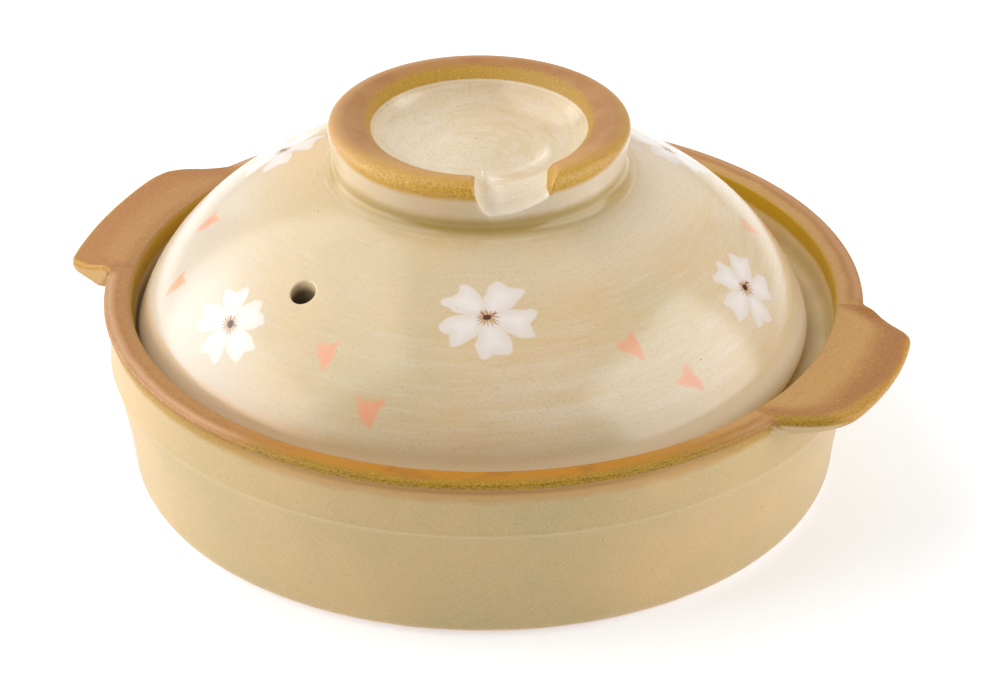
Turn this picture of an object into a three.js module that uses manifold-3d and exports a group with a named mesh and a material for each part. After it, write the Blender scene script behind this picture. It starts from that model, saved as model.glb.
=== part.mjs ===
// A lidded stoneware hot pot with two lugs, in millimetres, +Z up, standing on z = 0.
// The lugs lie along X. The lid rests on a ledge inside the rim and lifts straight up.
import * as THREE from "three";
import { mergeVertices } from "three/addons/utils/BufferGeometryUtils.js";
import Module from "manifold-3d";

// Pot body
const rimRadius = 127.5; // outside of the rolled rim
const potHeight = 62; // table to the top of the rim
const rimWidth = 9.2; // top face of the rim, from outside to inside
const rimBand = 3; // height of the rolled rim on the outside
const rimProud = 1.8; // how far the rolled rim stands out from the wall
const rimRound = 1.6; // rounding of the rim's top edges
const ridgeHeight = 42; // table to the turned line where the wall starts to taper
const wallSweep = 1.8; // how far the tapered wall is drawn in at half height
const footInset = 13.5; // how far the flat foot's edge lies inside the rim
const heelSpread = 5.4; // how far the rounded heel spreads out above the foot
const heelHeight = 7;
const wallThickness = 15.5;
const floorThickness = 8;
const floorCurve = 14; // radius between the floor and the wall inside

// Ledge that carries the lid
const recessDraft = 1; // how far the recess above the ledge narrows on its way down
const ledgeDepth = 15; // top of the rim to the ledge
const ledgeWidth = 13.2;
const ledgeNose = 2.5; // rounding of the ledge's inner edge
const shelfThickness = 5.5;

// Lugs, measured in plan from the pot's axis, with angles in degrees from the lug's middle
const lugReach = 16.8; // how far a lug stands out past the rim
const lugSteepCorner = 14.4;
const lugSweptCorner = 12.8;
const lugSteepCut = 4; // length of outline that the rounded corner of the steep flank takes up
const lugSweptCut = 6.5; // length of outline that the rounded corner of the swept flank takes up
const lugSteepRoot = 19.4; // where the steep flank meets the rim
const lugSweptRoot = 19; // where the swept flank meets the rim
const lugTuck = 8; // how far the outline runs in past the rim, to be cut to fit the wall
const lugTuckSpread = 4; // how much wider the outline gets there, in degrees on each side
const lugEdge = 2.8; // thickness at the outer edge
const lugDrop = 0.5; // how far the lug's top lies under the rim's top where it meets the rim
const lugFall = 2.4; // how far the lug's top falls from there to its outer edge
const lugTilt = 3.7; // how far the steep corner lies under the swept one
const lugDepth = 8.2; // top of the rim to where the lug's underside meets the wall
const lugRound = 1.2; // rounding of the lug's edges

// Lid
const lidPlay = 4.6; // gap all round between the lid's edge and the recess when centred
const lidShift = 3.6; // how far off centre the lid lies
const lidShiftDirection = 205;
const lidEdgeHeight = 5.2; // underside of the lid to its widest ring
const lidEdgeRound = 3.2;
const seatWidth = 7; // flat ring under the lid
const seatRise = 14; // height of the thick edge above the flat ring
const lidThickness = 7.5;
const domeRise = 77.3; // half height of the ellipse that the dome is part of
const domeDrop = 9.8; // underside of the lid to the middle of that ellipse
const crownThickness = 7.8; // clay under the knob
const ventDiameter = 8.8;
const ventInset = 32.3; // widest ring of the lid to the middle of the steam vent
const ventDirection = -107.1;

// Knob, a ring with a dished middle, which is also the foot when the lid is turned over
const knobShift = 2.2; // how far off the lid's axis the knob is stuck on
const knobShiftDirection = 25;
const knobHeight = 18.2; // flat of the dome to the top of the ring
const knobFootRadius = 52;
const knobFootEdge = 0.4; // height of the foot's thin edge above the flat of the dome
const knobNeckRadius = 48.3;
const knobNeckHeight = 3.2;
const knobRadius = 50;
const knobBand = 4; // height of the ring's rounded outer edge
const knobRound = 5.2; // width of the ring's rounded outer edge
const knobRingWidth = 14.3;
const knobRingFall = 3.7; // how far the ring's top falls towards the dish
const dishDepth = 12.1; // top of the ring to the middle of the dish
const dishPower = 6; // higher is flatter in the middle and steeper at the wall

// Notch through the ring, cut straight, with a leaning side, a rising floor and a rounded far end
const notchDirection = -65;
const notchOffset = -1.4; // the near side, sideways from the knob's axis
const notchWidth = 24.4;
const notchLean = 5.6; // how far the near side leans into the notch
const notchFlare = 3.6; // rounding of the ring at the far end of the notch
const notchDepth = 11.6;
const notchRise = 4.4;
const notchStart = 20; // where the cut starts, from the knob's axis

// Clearances
const lutingGap = 0.3; // layer of slip between pieces that are stuck together
const seatGap = 0.3; // between the lid and its ledge

// How finely round forms are cut into flats
const roundSegments = 72;
const potSteps = 3;
const domeSteps = 5;
const crownSteps = 20;
const knobSteps = 3;
const lugSteps = 5;
const lugRoundSteps = 2;
const ventSegments = 20;
const quarterTurn = Math.PI / 2;

// Sizes that follow from the ones above
const wallRadius = rimRadius - rimProud;
const footRadius = rimRadius - footInset;
const rimInside = rimRadius - rimWidth;
const recessRadius = rimInside - recessDraft;
const ledgeHeight = potHeight - ledgeDepth;
const ledgeRadius = recessRadius - ledgeWidth;
const bowlRadius = wallRadius - wallThickness;
const lugRadius = rimRadius + lugReach;
const lugTop = potHeight - lugDrop;
const lugTip = lugTop - lugFall;
const lugFoot = potHeight - lugDepth;
const lidBottom = ledgeHeight + seatGap;
const lidRadius = recessRadius - lidPlay;
const domeMiddle = lidBottom - domeDrop;
const domeRadius = lidRadius / Math.sqrt(1 - ((lidEdgeHeight + domeDrop) / domeRise) ** 2);
const crownRadius = knobFootRadius - knobShift;
const crownHeight = domeMiddle + domeRise * Math.sqrt(1 - (crownRadius / domeRadius) ** 2);
const knobBottom = crownHeight + lutingGap;
const knobTop = knobBottom + knobHeight;
const dishRadius = knobRadius - knobRingWidth;
const knobPlace = polar(knobShift, knobShiftDirection);

const wasm = await Module();
wasm.setup();

// A closed geometry as a solid that can be joined and cut.
function solidFrom(geometry) {
  const bare = geometry.clone();
  bare.deleteAttribute("normal");
  bare.deleteAttribute("uv");
  const merged = mergeVertices(bare);
  const mesh = new wasm.Mesh({
    numProp: 3,
    vertProperties: merged.attributes.position.array,
    triVerts: new Uint32Array(merged.index.array),
  });
  return new wasm.Manifold(mesh);
}

function geometryFrom(solid) {
  const { vertProperties, triVerts } = solid.getMesh();
  const geometry = new THREE.BufferGeometry();
  geometry.setAttribute("position", new THREE.BufferAttribute(vertProperties, 3));
  geometry.setIndex(new THREE.BufferAttribute(triVerts, 1));
  geometry.computeVertexNormals();
  return geometry;
}

// A solid of revolution about Z, from a path of radius and height.
function turned(path, steps) {
  const geometry = new THREE.LatheGeometry(path.getPoints(steps), roundSegments);
  return geometry.rotateX(quarterTurn);
}

function polar(radius, angle) {
  const turn = THREE.MathUtils.degToRad(angle);
  return new THREE.Vector2(radius * Math.cos(turn), radius * Math.sin(turn));
}

// The outside of the pot from the table to the top of the rim, spread out by a clearance.
function potOutside(spread) {
  const foot = footRadius + spread;
  const wall = wallRadius + spread;
  const rim = rimRadius + spread;
  const heel = foot + heelSpread;
  const path = new THREE.Path();
  path.moveTo(0, 0);
  path.lineTo(foot, 0);
  path.absellipse(foot, heelHeight, heelSpread, heelHeight, -quarterTurn, 0, false);
  path.quadraticCurveTo(heel + wallSweep, (heelHeight + ridgeHeight) / 2, wall, ridgeHeight);
  path.lineTo(wall, potHeight - rimBand);
  path.quadraticCurveTo(rim, potHeight - rimBand, rim, potHeight - rimBand / 2);
  path.quadraticCurveTo(rim, potHeight, rim - rimRound, potHeight);
  return path;
}

function potBody() {
  const path = potOutside(0);
  const shelfFoot = ledgeHeight - 2 * shelfThickness;
  const curveMiddle = floorThickness + floorCurve;
  path.lineTo(rimInside + rimRound, potHeight);
  path.quadraticCurveTo(rimInside, potHeight, rimInside, potHeight - rimRound);
  path.lineTo(recessRadius, ledgeHeight);
  path.lineTo(ledgeRadius + ledgeNose, ledgeHeight);
  path.quadraticCurveTo(ledgeRadius, ledgeHeight, ledgeRadius, ledgeHeight - ledgeNose);
  path.quadraticCurveTo(ledgeRadius, ledgeHeight - shelfThickness, bowlRadius, shelfFoot);
  path.lineTo(bowlRadius, curveMiddle);
  path.absarc(bowlRadius - floorCurve, curveMiddle, floorCurve, 0, -quarterTurn, true);
  path.lineTo(0, floorThickness);
  return turned(path, potSteps);
}

// A lug's outline seen from above, with a swept flank on one side and a steep one on the other.
function lugOutline() {
  const tuckRadius = rimRadius - lugTuck;
  const steepTurn = THREE.MathUtils.radToDeg(lugSteepCut / lugRadius);
  const sweptTurn = THREE.MathUtils.radToDeg(lugSweptCut / lugRadius);
  const sweptCorner = polar(lugRadius, -lugSweptCorner);
  const steepCorner = polar(lugRadius, lugSteepCorner);
  const sweptRoot = polar(rimRadius, -lugSweptRoot);
  const steepRoot = polar(rimRadius, lugSteepRoot);
  const sweptFlank = sweptCorner.clone().lerp(sweptRoot, lugSweptCut / sweptCorner.distanceTo(sweptRoot));
  const steepFlank = steepCorner.clone().lerp(steepRoot, lugSteepCut / steepCorner.distanceTo(steepRoot));
  const sweptArc = polar(lugRadius, sweptTurn - lugSweptCorner);
  const sweptTuck = polar(tuckRadius, -lugSweptRoot - lugTuckSpread);
  const steepTuck = polar(tuckRadius, lugSteepRoot + lugTuckSpread);
  const arcStart = THREE.MathUtils.degToRad(sweptTurn - lugSweptCorner);
  const arcEnd = THREE.MathUtils.degToRad(lugSteepCorner - steepTurn);
  const outline = new THREE.Shape();
  outline.moveTo(steepTuck.x, steepTuck.y);
  outline.lineTo(sweptTuck.x, sweptTuck.y);
  outline.quadraticCurveTo(sweptRoot.x, sweptRoot.y, sweptFlank.x, sweptFlank.y);
  outline.quadraticCurveTo(sweptCorner.x, sweptCorner.y, sweptArc.x, sweptArc.y);
  outline.absarc(0, 0, lugRadius, arcStart, arcEnd, false);
  outline.quadraticCurveTo(steepCorner.x, steepCorner.y, steepFlank.x, steepFlank.y);
  outline.lineTo(steepRoot.x, steepRoot.y);
  return outline;
}

// A lug is a slab of that outline that falls away from the rim, leans to its steep corner
// and fits the pot's outside.
function lug() {
  const slab = new THREE.ExtrudeGeometry(lugOutline(), {
    depth: lugDepth - lugDrop - 2 * lugRound,
    bevelThickness: lugRound,
    bevelSize: lugRound,
    bevelOffset: -lugRound,
    bevelSegments: lugRoundSteps,
    curveSegments: lugSteps,
  });
  const slope = lugFall / lugReach;
  const width = polar(lugRadius, lugSteepCorner).y - polar(lugRadius, -lugSweptCorner).y;
  const lean = new THREE.Matrix4().makeShear(0, 0, 0, -lugTilt / width, 0, 0);
  slab.applyMatrix4(new THREE.Matrix4().makeShear(0, -slope, 0, 0, 0, 0));
  slab.translate(0, 0, lugFoot + lugRound + slope * rimRadius);
  const section = new THREE.Path();
  section.moveTo(ledgeRadius, lugFoot);
  section.lineTo(wallRadius, lugFoot);
  section.lineTo(lugRadius, lugTip - lugEdge);
  section.lineTo(lugRadius + lugEdge, lugTip);
  section.lineTo(lugRadius + lugEdge, potHeight + lugTilt);
  section.lineTo(ledgeRadius, potHeight + lugTilt);
  section.lineTo(ledgeRadius, lugFoot);
  const underside = turned(section, 1);
  const leaning = solidFrom(slab.applyMatrix4(lean)).intersect(solidFrom(underside.applyMatrix4(lean)));
  const level = new THREE.Path();
  level.moveTo(0, 0);
  level.lineTo(lugRadius + lugEdge, 0);
  level.lineTo(lugRadius + lugEdge, lugTop);
  level.lineTo(0, lugTop);
  const outside = potOutside(lutingGap);
  outside.lineTo(0, potHeight);
  const pot = solidFrom(turned(outside, potSteps));
  return geometryFrom(leaning.intersect(solidFrom(turned(level, 1))).subtract(pot));
}

// The dome's outside above its middle, with the flat that the knob is stuck on, spread out by a clearance.
function domeOutside(spread) {
  const radius = domeRadius + spread;
  const rise = domeRise + spread;
  const crown = crownHeight + spread;
  const path = new THREE.Path();
  path.moveTo(0, domeMiddle);
  path.lineTo(radius, domeMiddle);
  path.absellipse(0, domeMiddle, radius, rise, 0, Math.asin((crown - domeMiddle) / rise), false);
  path.lineTo(0, crown);
  return turned(path, crownSteps);
}

// The dome is a shell between two ellipses, cut flat where the knob is stuck on.
function lidDome() {
  const insideRadius = domeRadius - lidThickness;
  const insideRise = domeRise - lidThickness;
  const ceiling = crownHeight - crownThickness;
  const ceilingTurn = Math.asin((ceiling - domeMiddle) / insideRise);
  const edgeTurn = Math.asin((seatRise + domeDrop) / insideRise);
  const widestTurn = Math.asin((lidEdgeHeight + domeDrop) / domeRise);
  const crownTurn = Math.acos(crownRadius / domeRadius);
  const seatOutside = lidRadius - lidEdgeRound;
  const path = new THREE.Path();
  path.moveTo(0, ceiling);
  path.lineTo(insideRadius * Math.cos(ceilingTurn), ceiling);
  path.absellipse(0, domeMiddle, insideRadius, insideRise, ceilingTurn, edgeTurn, true);
  path.lineTo(seatOutside - seatWidth, lidBottom);
  path.lineTo(seatOutside, lidBottom);
  path.quadraticCurveTo(lidRadius, lidBottom, lidRadius, lidBottom + lidEdgeHeight);
  path.absellipse(0, domeMiddle, domeRadius, domeRise, widestTurn, crownTurn, false);
  path.lineTo(0, crownHeight);
  const ventPlace = polar(lidRadius - ventInset, ventDirection);
  const ventLength = 2 * domeRise;
  const vent = new THREE.CylinderGeometry(ventDiameter / 2, ventDiameter / 2, ventLength, ventSegments);
  vent.rotateX(quarterTurn);
  vent.translate(ventPlace.x, ventPlace.y, crownHeight);
  return geometryFrom(solidFrom(turned(path, domeSteps)).subtract(solidFrom(vent)));
}

// The tool that cuts the notch, as a straight bar from inside the dish out past the ring.
function notchBar() {
  const floor = knobTop - notchDepth;
  const clear = knobTop + knobBand;
  const section = new THREE.Shape();
  section.moveTo(0, clear);
  section.lineTo(0, knobTop - knobRingFall);
  section.quadraticCurveTo(notchLean / 2, floor, notchLean, floor);
  section.quadraticCurveTo((notchLean + notchWidth) / 2, floor, notchWidth, floor + notchRise);
  section.quadraticCurveTo(notchWidth, knobTop, notchWidth + notchFlare, knobTop);
  section.lineTo(notchWidth + notchFlare, clear);
  const bar = new THREE.ExtrudeGeometry(section, {
    depth: knobFootRadius - notchStart,
    bevelEnabled: false,
    curveSegments: knobSteps,
  });
  const outward = polar(1, notchDirection);
  const place = new THREE.Matrix4().makeBasis(
    new THREE.Vector3(-outward.y, outward.x, 0),
    new THREE.Vector3(0, 0, 1),
    new THREE.Vector3(outward.x, outward.y, 0),
  );
  bar.translate(notchOffset, 0, notchStart);
  return bar.applyMatrix4(place);
}

// The knob's foot fits the dome that it is stuck on, off the dome's axis.
function lidKnob() {
  const reach = (knobFootRadius + knobShift) / domeRadius;
  const footHeight = domeMiddle + domeRise * Math.sqrt(1 - reach ** 2);
  const neckHeight = knobBottom + knobNeckHeight;
  const dishFloor = knobTop - dishDepth;
  const dishRise = dishDepth - knobRingFall;
  const path = new THREE.Path();
  path.moveTo(0, footHeight);
  path.lineTo(knobFootRadius, footHeight);
  path.lineTo(knobFootRadius, knobBottom + knobFootEdge);
  path.quadraticCurveTo(knobNeckRadius, knobBottom + knobFootEdge, knobNeckRadius, neckHeight);
  path.lineTo(knobRadius, knobTop - knobBand);
  path.quadraticCurveTo(knobRadius, knobTop, knobRadius - knobRound, knobTop);
  const dishSteps = 2 * knobSteps;
  for (let step = 0; step <= dishSteps; step += 1) {
    const share = 1 - step / dishSteps;
    path.lineTo(dishRadius * share, dishFloor + dishRise * share ** dishPower);
  }
  const dome = domeOutside(lutingGap).translate(-knobPlace.x, -knobPlace.y, 0);
  const blank = solidFrom(turned(path, knobSteps));
  return geometryFrom(blank.subtract(solidFrom(notchBar())).subtract(solidFrom(dome)));
}

function piece(name, geometry, color, roughness) {
  const material = new THREE.MeshStandardMaterial({ color, roughness, metalness: 0 });
  const mesh = new THREE.Mesh(geometry, material);
  mesh.name = name;
  return mesh;
}

const sandGlaze = 0xc0a77b;
const rustGlaze = 0xb5834f;
const creamGlaze = 0xe4d6bb;
const oliveGlaze = 0xbd8f4a;
const dry = 0.7;
const satin = 0.5;
const glossy = 0.25;

const lugGeometry = lug();
const rightLug = piece("right_lug", lugGeometry, rustGlaze, dry);
const leftLug = piece("left_lug", lugGeometry, rustGlaze, dry);
leftLug.rotation.z = Math.PI;

const pot = new THREE.Group();
pot.add(piece("pot_body", potBody(), sandGlaze, satin), rightLug, leftLug);

const lid = new THREE.Group();
const lidPlace = polar(lidShift, lidShiftDirection);
const knob = piece("lid_knob", lidKnob(), oliveGlaze, satin);
lid.position.set(lidPlace.x, lidPlace.y, 0);
knob.position.set(knobPlace.x, knobPlace.y, 0);
lid.add(piece("lid_dome", lidDome(), creamGlaze, glossy), knob);

const hotPot = new THREE.Group();
hotPot.add(pot, lid);

export default hotPot;
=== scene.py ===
import math

import bpy
import numpy as np
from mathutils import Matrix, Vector


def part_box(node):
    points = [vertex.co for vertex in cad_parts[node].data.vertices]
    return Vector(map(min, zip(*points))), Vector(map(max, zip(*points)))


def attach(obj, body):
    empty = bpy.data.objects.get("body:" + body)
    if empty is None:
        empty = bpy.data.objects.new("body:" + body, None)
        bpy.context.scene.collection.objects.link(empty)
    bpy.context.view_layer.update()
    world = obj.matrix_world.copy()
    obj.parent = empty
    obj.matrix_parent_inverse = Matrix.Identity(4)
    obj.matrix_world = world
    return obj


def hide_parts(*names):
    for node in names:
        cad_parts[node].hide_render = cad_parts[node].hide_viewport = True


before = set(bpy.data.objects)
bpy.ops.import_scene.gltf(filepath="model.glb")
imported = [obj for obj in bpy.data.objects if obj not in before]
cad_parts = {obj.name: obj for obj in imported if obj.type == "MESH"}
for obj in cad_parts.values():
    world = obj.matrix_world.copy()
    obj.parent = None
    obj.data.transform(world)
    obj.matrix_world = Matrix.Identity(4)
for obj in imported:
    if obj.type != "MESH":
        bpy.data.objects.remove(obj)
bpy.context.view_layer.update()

# Sizes are in millimetres here, and meshes are scaled to metres when they are made.
MM = 0.001


def corners(node):
    low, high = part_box(node)
    return np.array(low) / MM, np.array(high) / MM


# Sizes that the frame gives
_, pot_high = corners("pot_body")
_, lug_high = corners("right_lug")
dome_low, dome_high = corners("lid_dome")
knob_low, knob_high = corners("lid_knob")
RIM_RADIUS = pot_high[1]
POT_HEIGHT = pot_high[2]
LUG_RADIUS = lug_high[0]
LUG_TOP = lug_high[2]
LID_MIDDLE = (dome_low + dome_high)[:2] / 2
LID_RADIUS = (dome_high - dome_low)[0] / 2
LID_BOTTOM = dome_low[2]
CROWN_HEIGHT = dome_high[2]
KNOB_MIDDLE = (knob_low + knob_high)[:2] / 2
KNOB_FOOT_RADIUS = (knob_high - knob_low)[0] / 2
KNOB_TOP = knob_high[2]

# Pot
RIM_WIDTH = 9.2
RIM_BAND = 2.6
RIM_PROUD = 1.8
RIM_ROUND = 1.6
RIM_CROWN = 0.3
RIM_FILLET = 0.7
RIM_FACE_LIFT = 0.5
RIM_FACE_ROUND = 0.9
BEAD_DROP = 2
BEAD_PROUD = 0.5
BEAD_WIDTH = 1.1
RIDGE_HEIGHT = 42
RIDGE_PROUD = 0.35
RIDGE_WIDTH = 0.8
WALL_SWEEP = 1.8
FOOT_INSET = 13.5
HEEL_SPREAD = 5.4
HEEL_HEIGHT = 7
WALL_THICKNESS = 15.5
FLOOR_THICKNESS = 8
FLOOR_CURVE = 14
RECESS_DRAFT = 1
RECESS_FILLET = 5
LEDGE_DEPTH = 15
LEDGE_WIDTH = 13.2
LEDGE_NOSE = 2.5
SHELF_THICKNESS = 5.5

# Lugs, with angles in degrees from a lug's middle
LUG_STEEP_CORNER = 14.4
LUG_SWEPT_CORNER = 12.8
LUG_STEEP_CUT = 3
LUG_SWEPT_CUT = 9.5
LUG_STEEP_ROOT = 19.4
LUG_SWEPT_ROOT = 19
LUG_TUCK = 8
LUG_TUCK_SPREAD = 4
LUG_FALL = 2.4
LUG_TILT = 3.7
LUG_DEPTH = 8.2
LUG_EDGE = 2.8
LUG_ROUND = 1.2
LUG_FILLET = 2.4
LUG_FAIRING = 7
LUG_ROOT_FAIRING = 6
LUG_SOFTNESS = 0.35
LUG_LEAN_REACH = 11
LUG_NEARNESS = 2.4
LUG_ZONE = 25.2

# Lid
LID_EDGE_HEIGHT = 5.2
LID_EDGE_ROUND = 3.2
SEAT_WIDTH = 7
SEAT_RISE = 14
SEAT_ROUND = 1.5
LID_THICKNESS = 7.5
DOME_RISE = 77.3
DOME_DROP = 9.8
CROWN_THICKNESS = 7.8
CEILING_ROUND = 3
CEILING_FLAT = 60
VENT_RADIUS = 4.4
VENT_LIP = 0.7
VENT_FLATTENING = 0.8
VENT_PLACE = 80.4
VENT_DIRECTION = -107.1
VENT_ZONE = 7

# Knob
KNOB_FAIRING = 12
KNOB_NECK_RADIUS = 48.3
KNOB_NECK_HEIGHT = 3.5
KNOB_RADIUS = 50
KNOB_BAND = 4
KNOB_ROUND = 5.2
KNOB_RING_WIDTH = 14.3
KNOB_RING_FALL = 3.7
KNOB_RING_CROWN = 0.5
DISH_DEPTH = 12.1
DISH_POWER = 6
NOTCH_DIRECTION = -65
NOTCH_OFFSET = -1.4
NOTCH_WIDTH = 24.4
NOTCH_LEAN = 5.6
NOTCH_FLARE = 3.6
NOTCH_DEPTH = 11.6
NOTCH_RISE = 4.4
NOTCH_STEP = 0.2
NOTCH_FADE = 1
NOTCH_ZONE = (-8, 50)

# Where the knob's lines run along the notch, in degrees from it and as radii
HELD_START = (-50, -12)
HELD_END = (45, 85)
HELD_INSIDE = (27, 34)
HELD_OUTSIDE = (50, 58)
STEEPEST = 0.97

# Where the notch's edges are softened, in degrees from it and points in from the knob's ends, and how often
SOFT_START = (-9, -4)
SOFT_END = (46, 52)
DISH_SOFT_START = (2, 5)
DISH_SOFT_END = (28, 34)
SOFT_PASSES = 3
DISH_SOFT_PASSES = 8
SOFT_FOOT = 6
SOFT_TIP = 4

# Numbers of lines and points, and the angle between lines
LUG_LINES = 144
WALL_LINES = 108
EDGE_STEPS = 6
INNER_STEPS = 5
NOTCH_TURN = 0.45
VENT_TURN = 0.7
LID_TURN = 1.2
VENT_LINES = 10
VENT_POINTS = 5

# Rings of the vent, as shares of the way and as turns of its lips
LIP_SHARES = (0.35, 0.7, 1)
LIP_TURNS = (22, 45, 68, 90)
BORE_SHARES = (0.2, 0.4, 0.6, 0.8, 1)
INNER_LIP_TURNS = (60, 30, 0)

# Sizes that follow from these
WALL_RADIUS = RIM_RADIUS - RIM_PROUD
FOOT_RADIUS = RIM_RADIUS - FOOT_INSET
RIM_FOOT = POT_HEIGHT - RIM_BAND
RIM_TOP_START = RIM_RADIUS - 2 * RIM_ROUND
LUG_FOOT = POT_HEIGHT - LUG_DEPTH
LUG_LOWEST = LUG_FOOT - LUG_TILT
LUG_TIP = LUG_TOP - LUG_FALL
LUG_SLOPE = LUG_FALL / (LUG_RADIUS - RIM_RADIUS)
RIM_INSIDE = RIM_RADIUS - RIM_WIDTH
RECESS_RADIUS = RIM_INSIDE - RECESS_DRAFT
LEDGE_HEIGHT = POT_HEIGHT - LEDGE_DEPTH
LEDGE_RADIUS = RECESS_RADIUS - LEDGE_WIDTH
BOWL_RADIUS = WALL_RADIUS - WALL_THICKNESS
DOME_MIDDLE = LID_BOTTOM - DOME_DROP
DOME_RADIUS = LID_RADIUS / math.sqrt(1 - ((LID_EDGE_HEIGHT + DOME_DROP) / DOME_RISE) ** 2)
HOLLOW_TURN = math.asin((SEAT_RISE + DOME_DROP) / (DOME_RISE - LID_THICKNESS))
HOLLOW_RADIUS = (DOME_RADIUS - LID_THICKNESS) * math.cos(HOLLOW_TURN)
DISH_RADIUS = KNOB_RADIUS - KNOB_RING_WIDTH

# Limits of the curves
QUARTER = math.pi / 2
CUT_LIMIT = 0.45
BLUR_STEP = 0.1
BLUR_REACH = 3


def dome_height(radius, inset):
    """Height of the dome at a radius, or of a surface inset below it."""
    share = np.clip(radius / (DOME_RADIUS - inset), 0, 1)
    return DOME_MIDDLE + (DOME_RISE - inset) * np.sqrt(1 - share**2)


KNOB_FOOT = float(dome_height(KNOB_FOOT_RADIUS, 0))


# Curves. Each gives points from its start up to, but without, its end.
def straight(start, end, count):
    share = np.arange(count)[:, None] / count
    start = np.asarray(start, float)[..., None, :]
    end = np.asarray(end, float)[..., None, :]
    return (1 - share) * start + share * end


def bend(start, corner, end, count):
    share = np.arange(count)[:, None] / count
    start = np.asarray(start, float)[..., None, :]
    corner = np.asarray(corner, float)[..., None, :]
    end = np.asarray(end, float)[..., None, :]
    return (1 - share) ** 2 * start + 2 * share * (1 - share) * corner + share**2 * end


def arc(middle, radii, start, end, count):
    turn = start + (end - start) * np.arange(count) / count
    return np.asarray(middle) + np.asarray(radii) * np.stack([np.cos(turn), np.sin(turn)], 1)


def rounded(points, cuts, counts, steps):
    """A run of straight lines through points, with each inner corner rounded by its cut."""
    parts = []
    start = points[0]
    for here, cut, count in zip(range(1, len(points) - 1), cuts, counts):
        corner = points[here]
        back = points[here - 1] - corner
        on = points[here + 1] - corner
        back_length = np.linalg.norm(back, axis=-1, keepdims=True)
        on_length = np.linalg.norm(on, axis=-1, keepdims=True)
        cut = np.minimum(np.asarray(cut)[..., None], CUT_LIMIT * np.minimum(back_length, on_length))
        before = corner + back / back_length * cut
        after = corner + on / on_length * cut
        parts.append(straight(start, before, count))
        parts.append(bend(before, corner, after, steps))
        start = after
    parts.append(straight(start, points[-1], counts[-1]))
    return parts


def polar(radius, angle):
    turn = np.radians(angle)
    return np.stack([radius * np.cos(turn), radius * np.sin(turn)], -1)


def ease(low, high, value):
    share = np.clip((value - low) / (high - low), 0, 1)
    return share * share * (3 - 2 * share)


def swell(share):
    return np.exp(-(share**2))


def joined(parts, lines):
    """Profile parts put together for every line of a skin, and where each part starts."""
    spread = [np.broadcast_to(part, (lines,) + part.shape[-2:]) for part in parts]
    starts = np.cumsum([0] + [part.shape[-2] for part in parts])
    return np.concatenate(spread, 1).copy(), starts


def lengths(profile):
    """Distance along each profile from its start."""
    steps = np.linalg.norm(np.diff(profile, axis=1), axis=-1)
    return np.pad(np.cumsum(steps, axis=1), ((0, 0), (1, 0)))


class Skin:
    """A closed surface made of lines that run from one pole to the other."""

    def __init__(self, lines):
        self.count, self.points = lines.shape[:2]
        inner = lines[:, 1:-1].reshape(-1, 3)
        self.places = list(np.concatenate([inner, lines[:1, 0], lines[:1, -1]]))
        self.faces = []
        self.values = {}
        self.sources = []
        self.depths = []

    def index(self, line, point):
        return (line % self.count) * (self.points - 2) + point - 1

    def cover(self, holes=()):
        """Faces all over, apart from blocks of (first line, last line, first point, last point)."""
        south = self.count * (self.points - 2)
        for line in range(self.count):
            self.faces.append((self.index(line + 1, 1), self.index(line, 1), south))
            last = self.points - 2
            self.faces.append((self.index(line, last), self.index(line + 1, last), south + 1))
            cut = [hole for hole in holes if hole[0] <= line < hole[1]]
            for point in range(1, last):
                if any(hole[2] <= point < hole[3] for hole in cut):
                    continue
                a, b = self.index(line, point), self.index(line + 1, point)
                self.faces.append((a, b, b + 1, a + 1))

    def around(self, first, last, low, high):
        """The points round a hole, in order. With low and high swapped the order is mirrored."""
        step = 1 if low < high else -1
        way = [(line, low) for line in range(first, last)]
        way += [(last, point) for point in range(low, high, step)]
        way += [(line, high) for line in range(last, first, -1)]
        way += [(first, point) for point in range(high, low, -step)]
        return [self.index(line, point) for line, point in way]

    def tube(self, start, rings, end):
        """Faces from one loop of points over rings of new places to another loop."""
        loop = start
        rings = list(rings)
        for number, ring in enumerate(rings + [None]):
            if ring is None:
                following = end
            else:
                following = list(range(len(self.places), len(self.places) + len(ring)))
                self.places.extend(ring)
                self.sources.extend(start if 2 * number < len(rings) else end)
                self.depths.extend([number / len(rings)] * len(ring))
            for here in range(len(loop)):
                there = (here + 1) % len(loop)
                self.faces.append((loop[here], loop[there], following[there], following[here]))
            loop = following

    def note(self, name, values):
        """A number for each point, kept on the mesh for the materials. A tube repeats its ends'."""
        values = np.broadcast_to(values, (self.count, self.points))
        self.values[name] = np.concatenate([values[:, 1:-1].ravel(), values[0, [0, -1]]])

    def mesh(self, name, middle):
        made = bpy.data.meshes.new(name)
        shift = np.array([middle[0], middle[1], 0])
        made.from_pydata((np.array(self.places) - shift) * MM, [], self.faces)
        tubes = {key: values[self.sources] for key, values in self.values.items()}
        tubes["depth"] = np.array(self.depths)
        self.values["depth"] = np.zeros(len(self.places) - len(self.depths))
        for key, values in self.values.items():
            values = np.concatenate([values, tubes[key]])
            attribute = made.attributes.new(key, "FLOAT", "POINT")
            attribute.data.foreach_set("value", values.astype(np.float32))
        made.shade_smooth()
        made.validate()
        piece = bpy.data.objects.new(name, made)
        piece.location = shift * MM
        bpy.context.scene.collection.objects.link(piece)
        return piece


def in_space(profile, turns, middle=(0, 0)):
    """Radius and height on each line, at its angle in degrees, as places."""
    flat = polar(profile[..., 0], turns) + np.asarray(middle)
    return np.concatenate([flat, profile[..., 1:]], -1)


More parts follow.
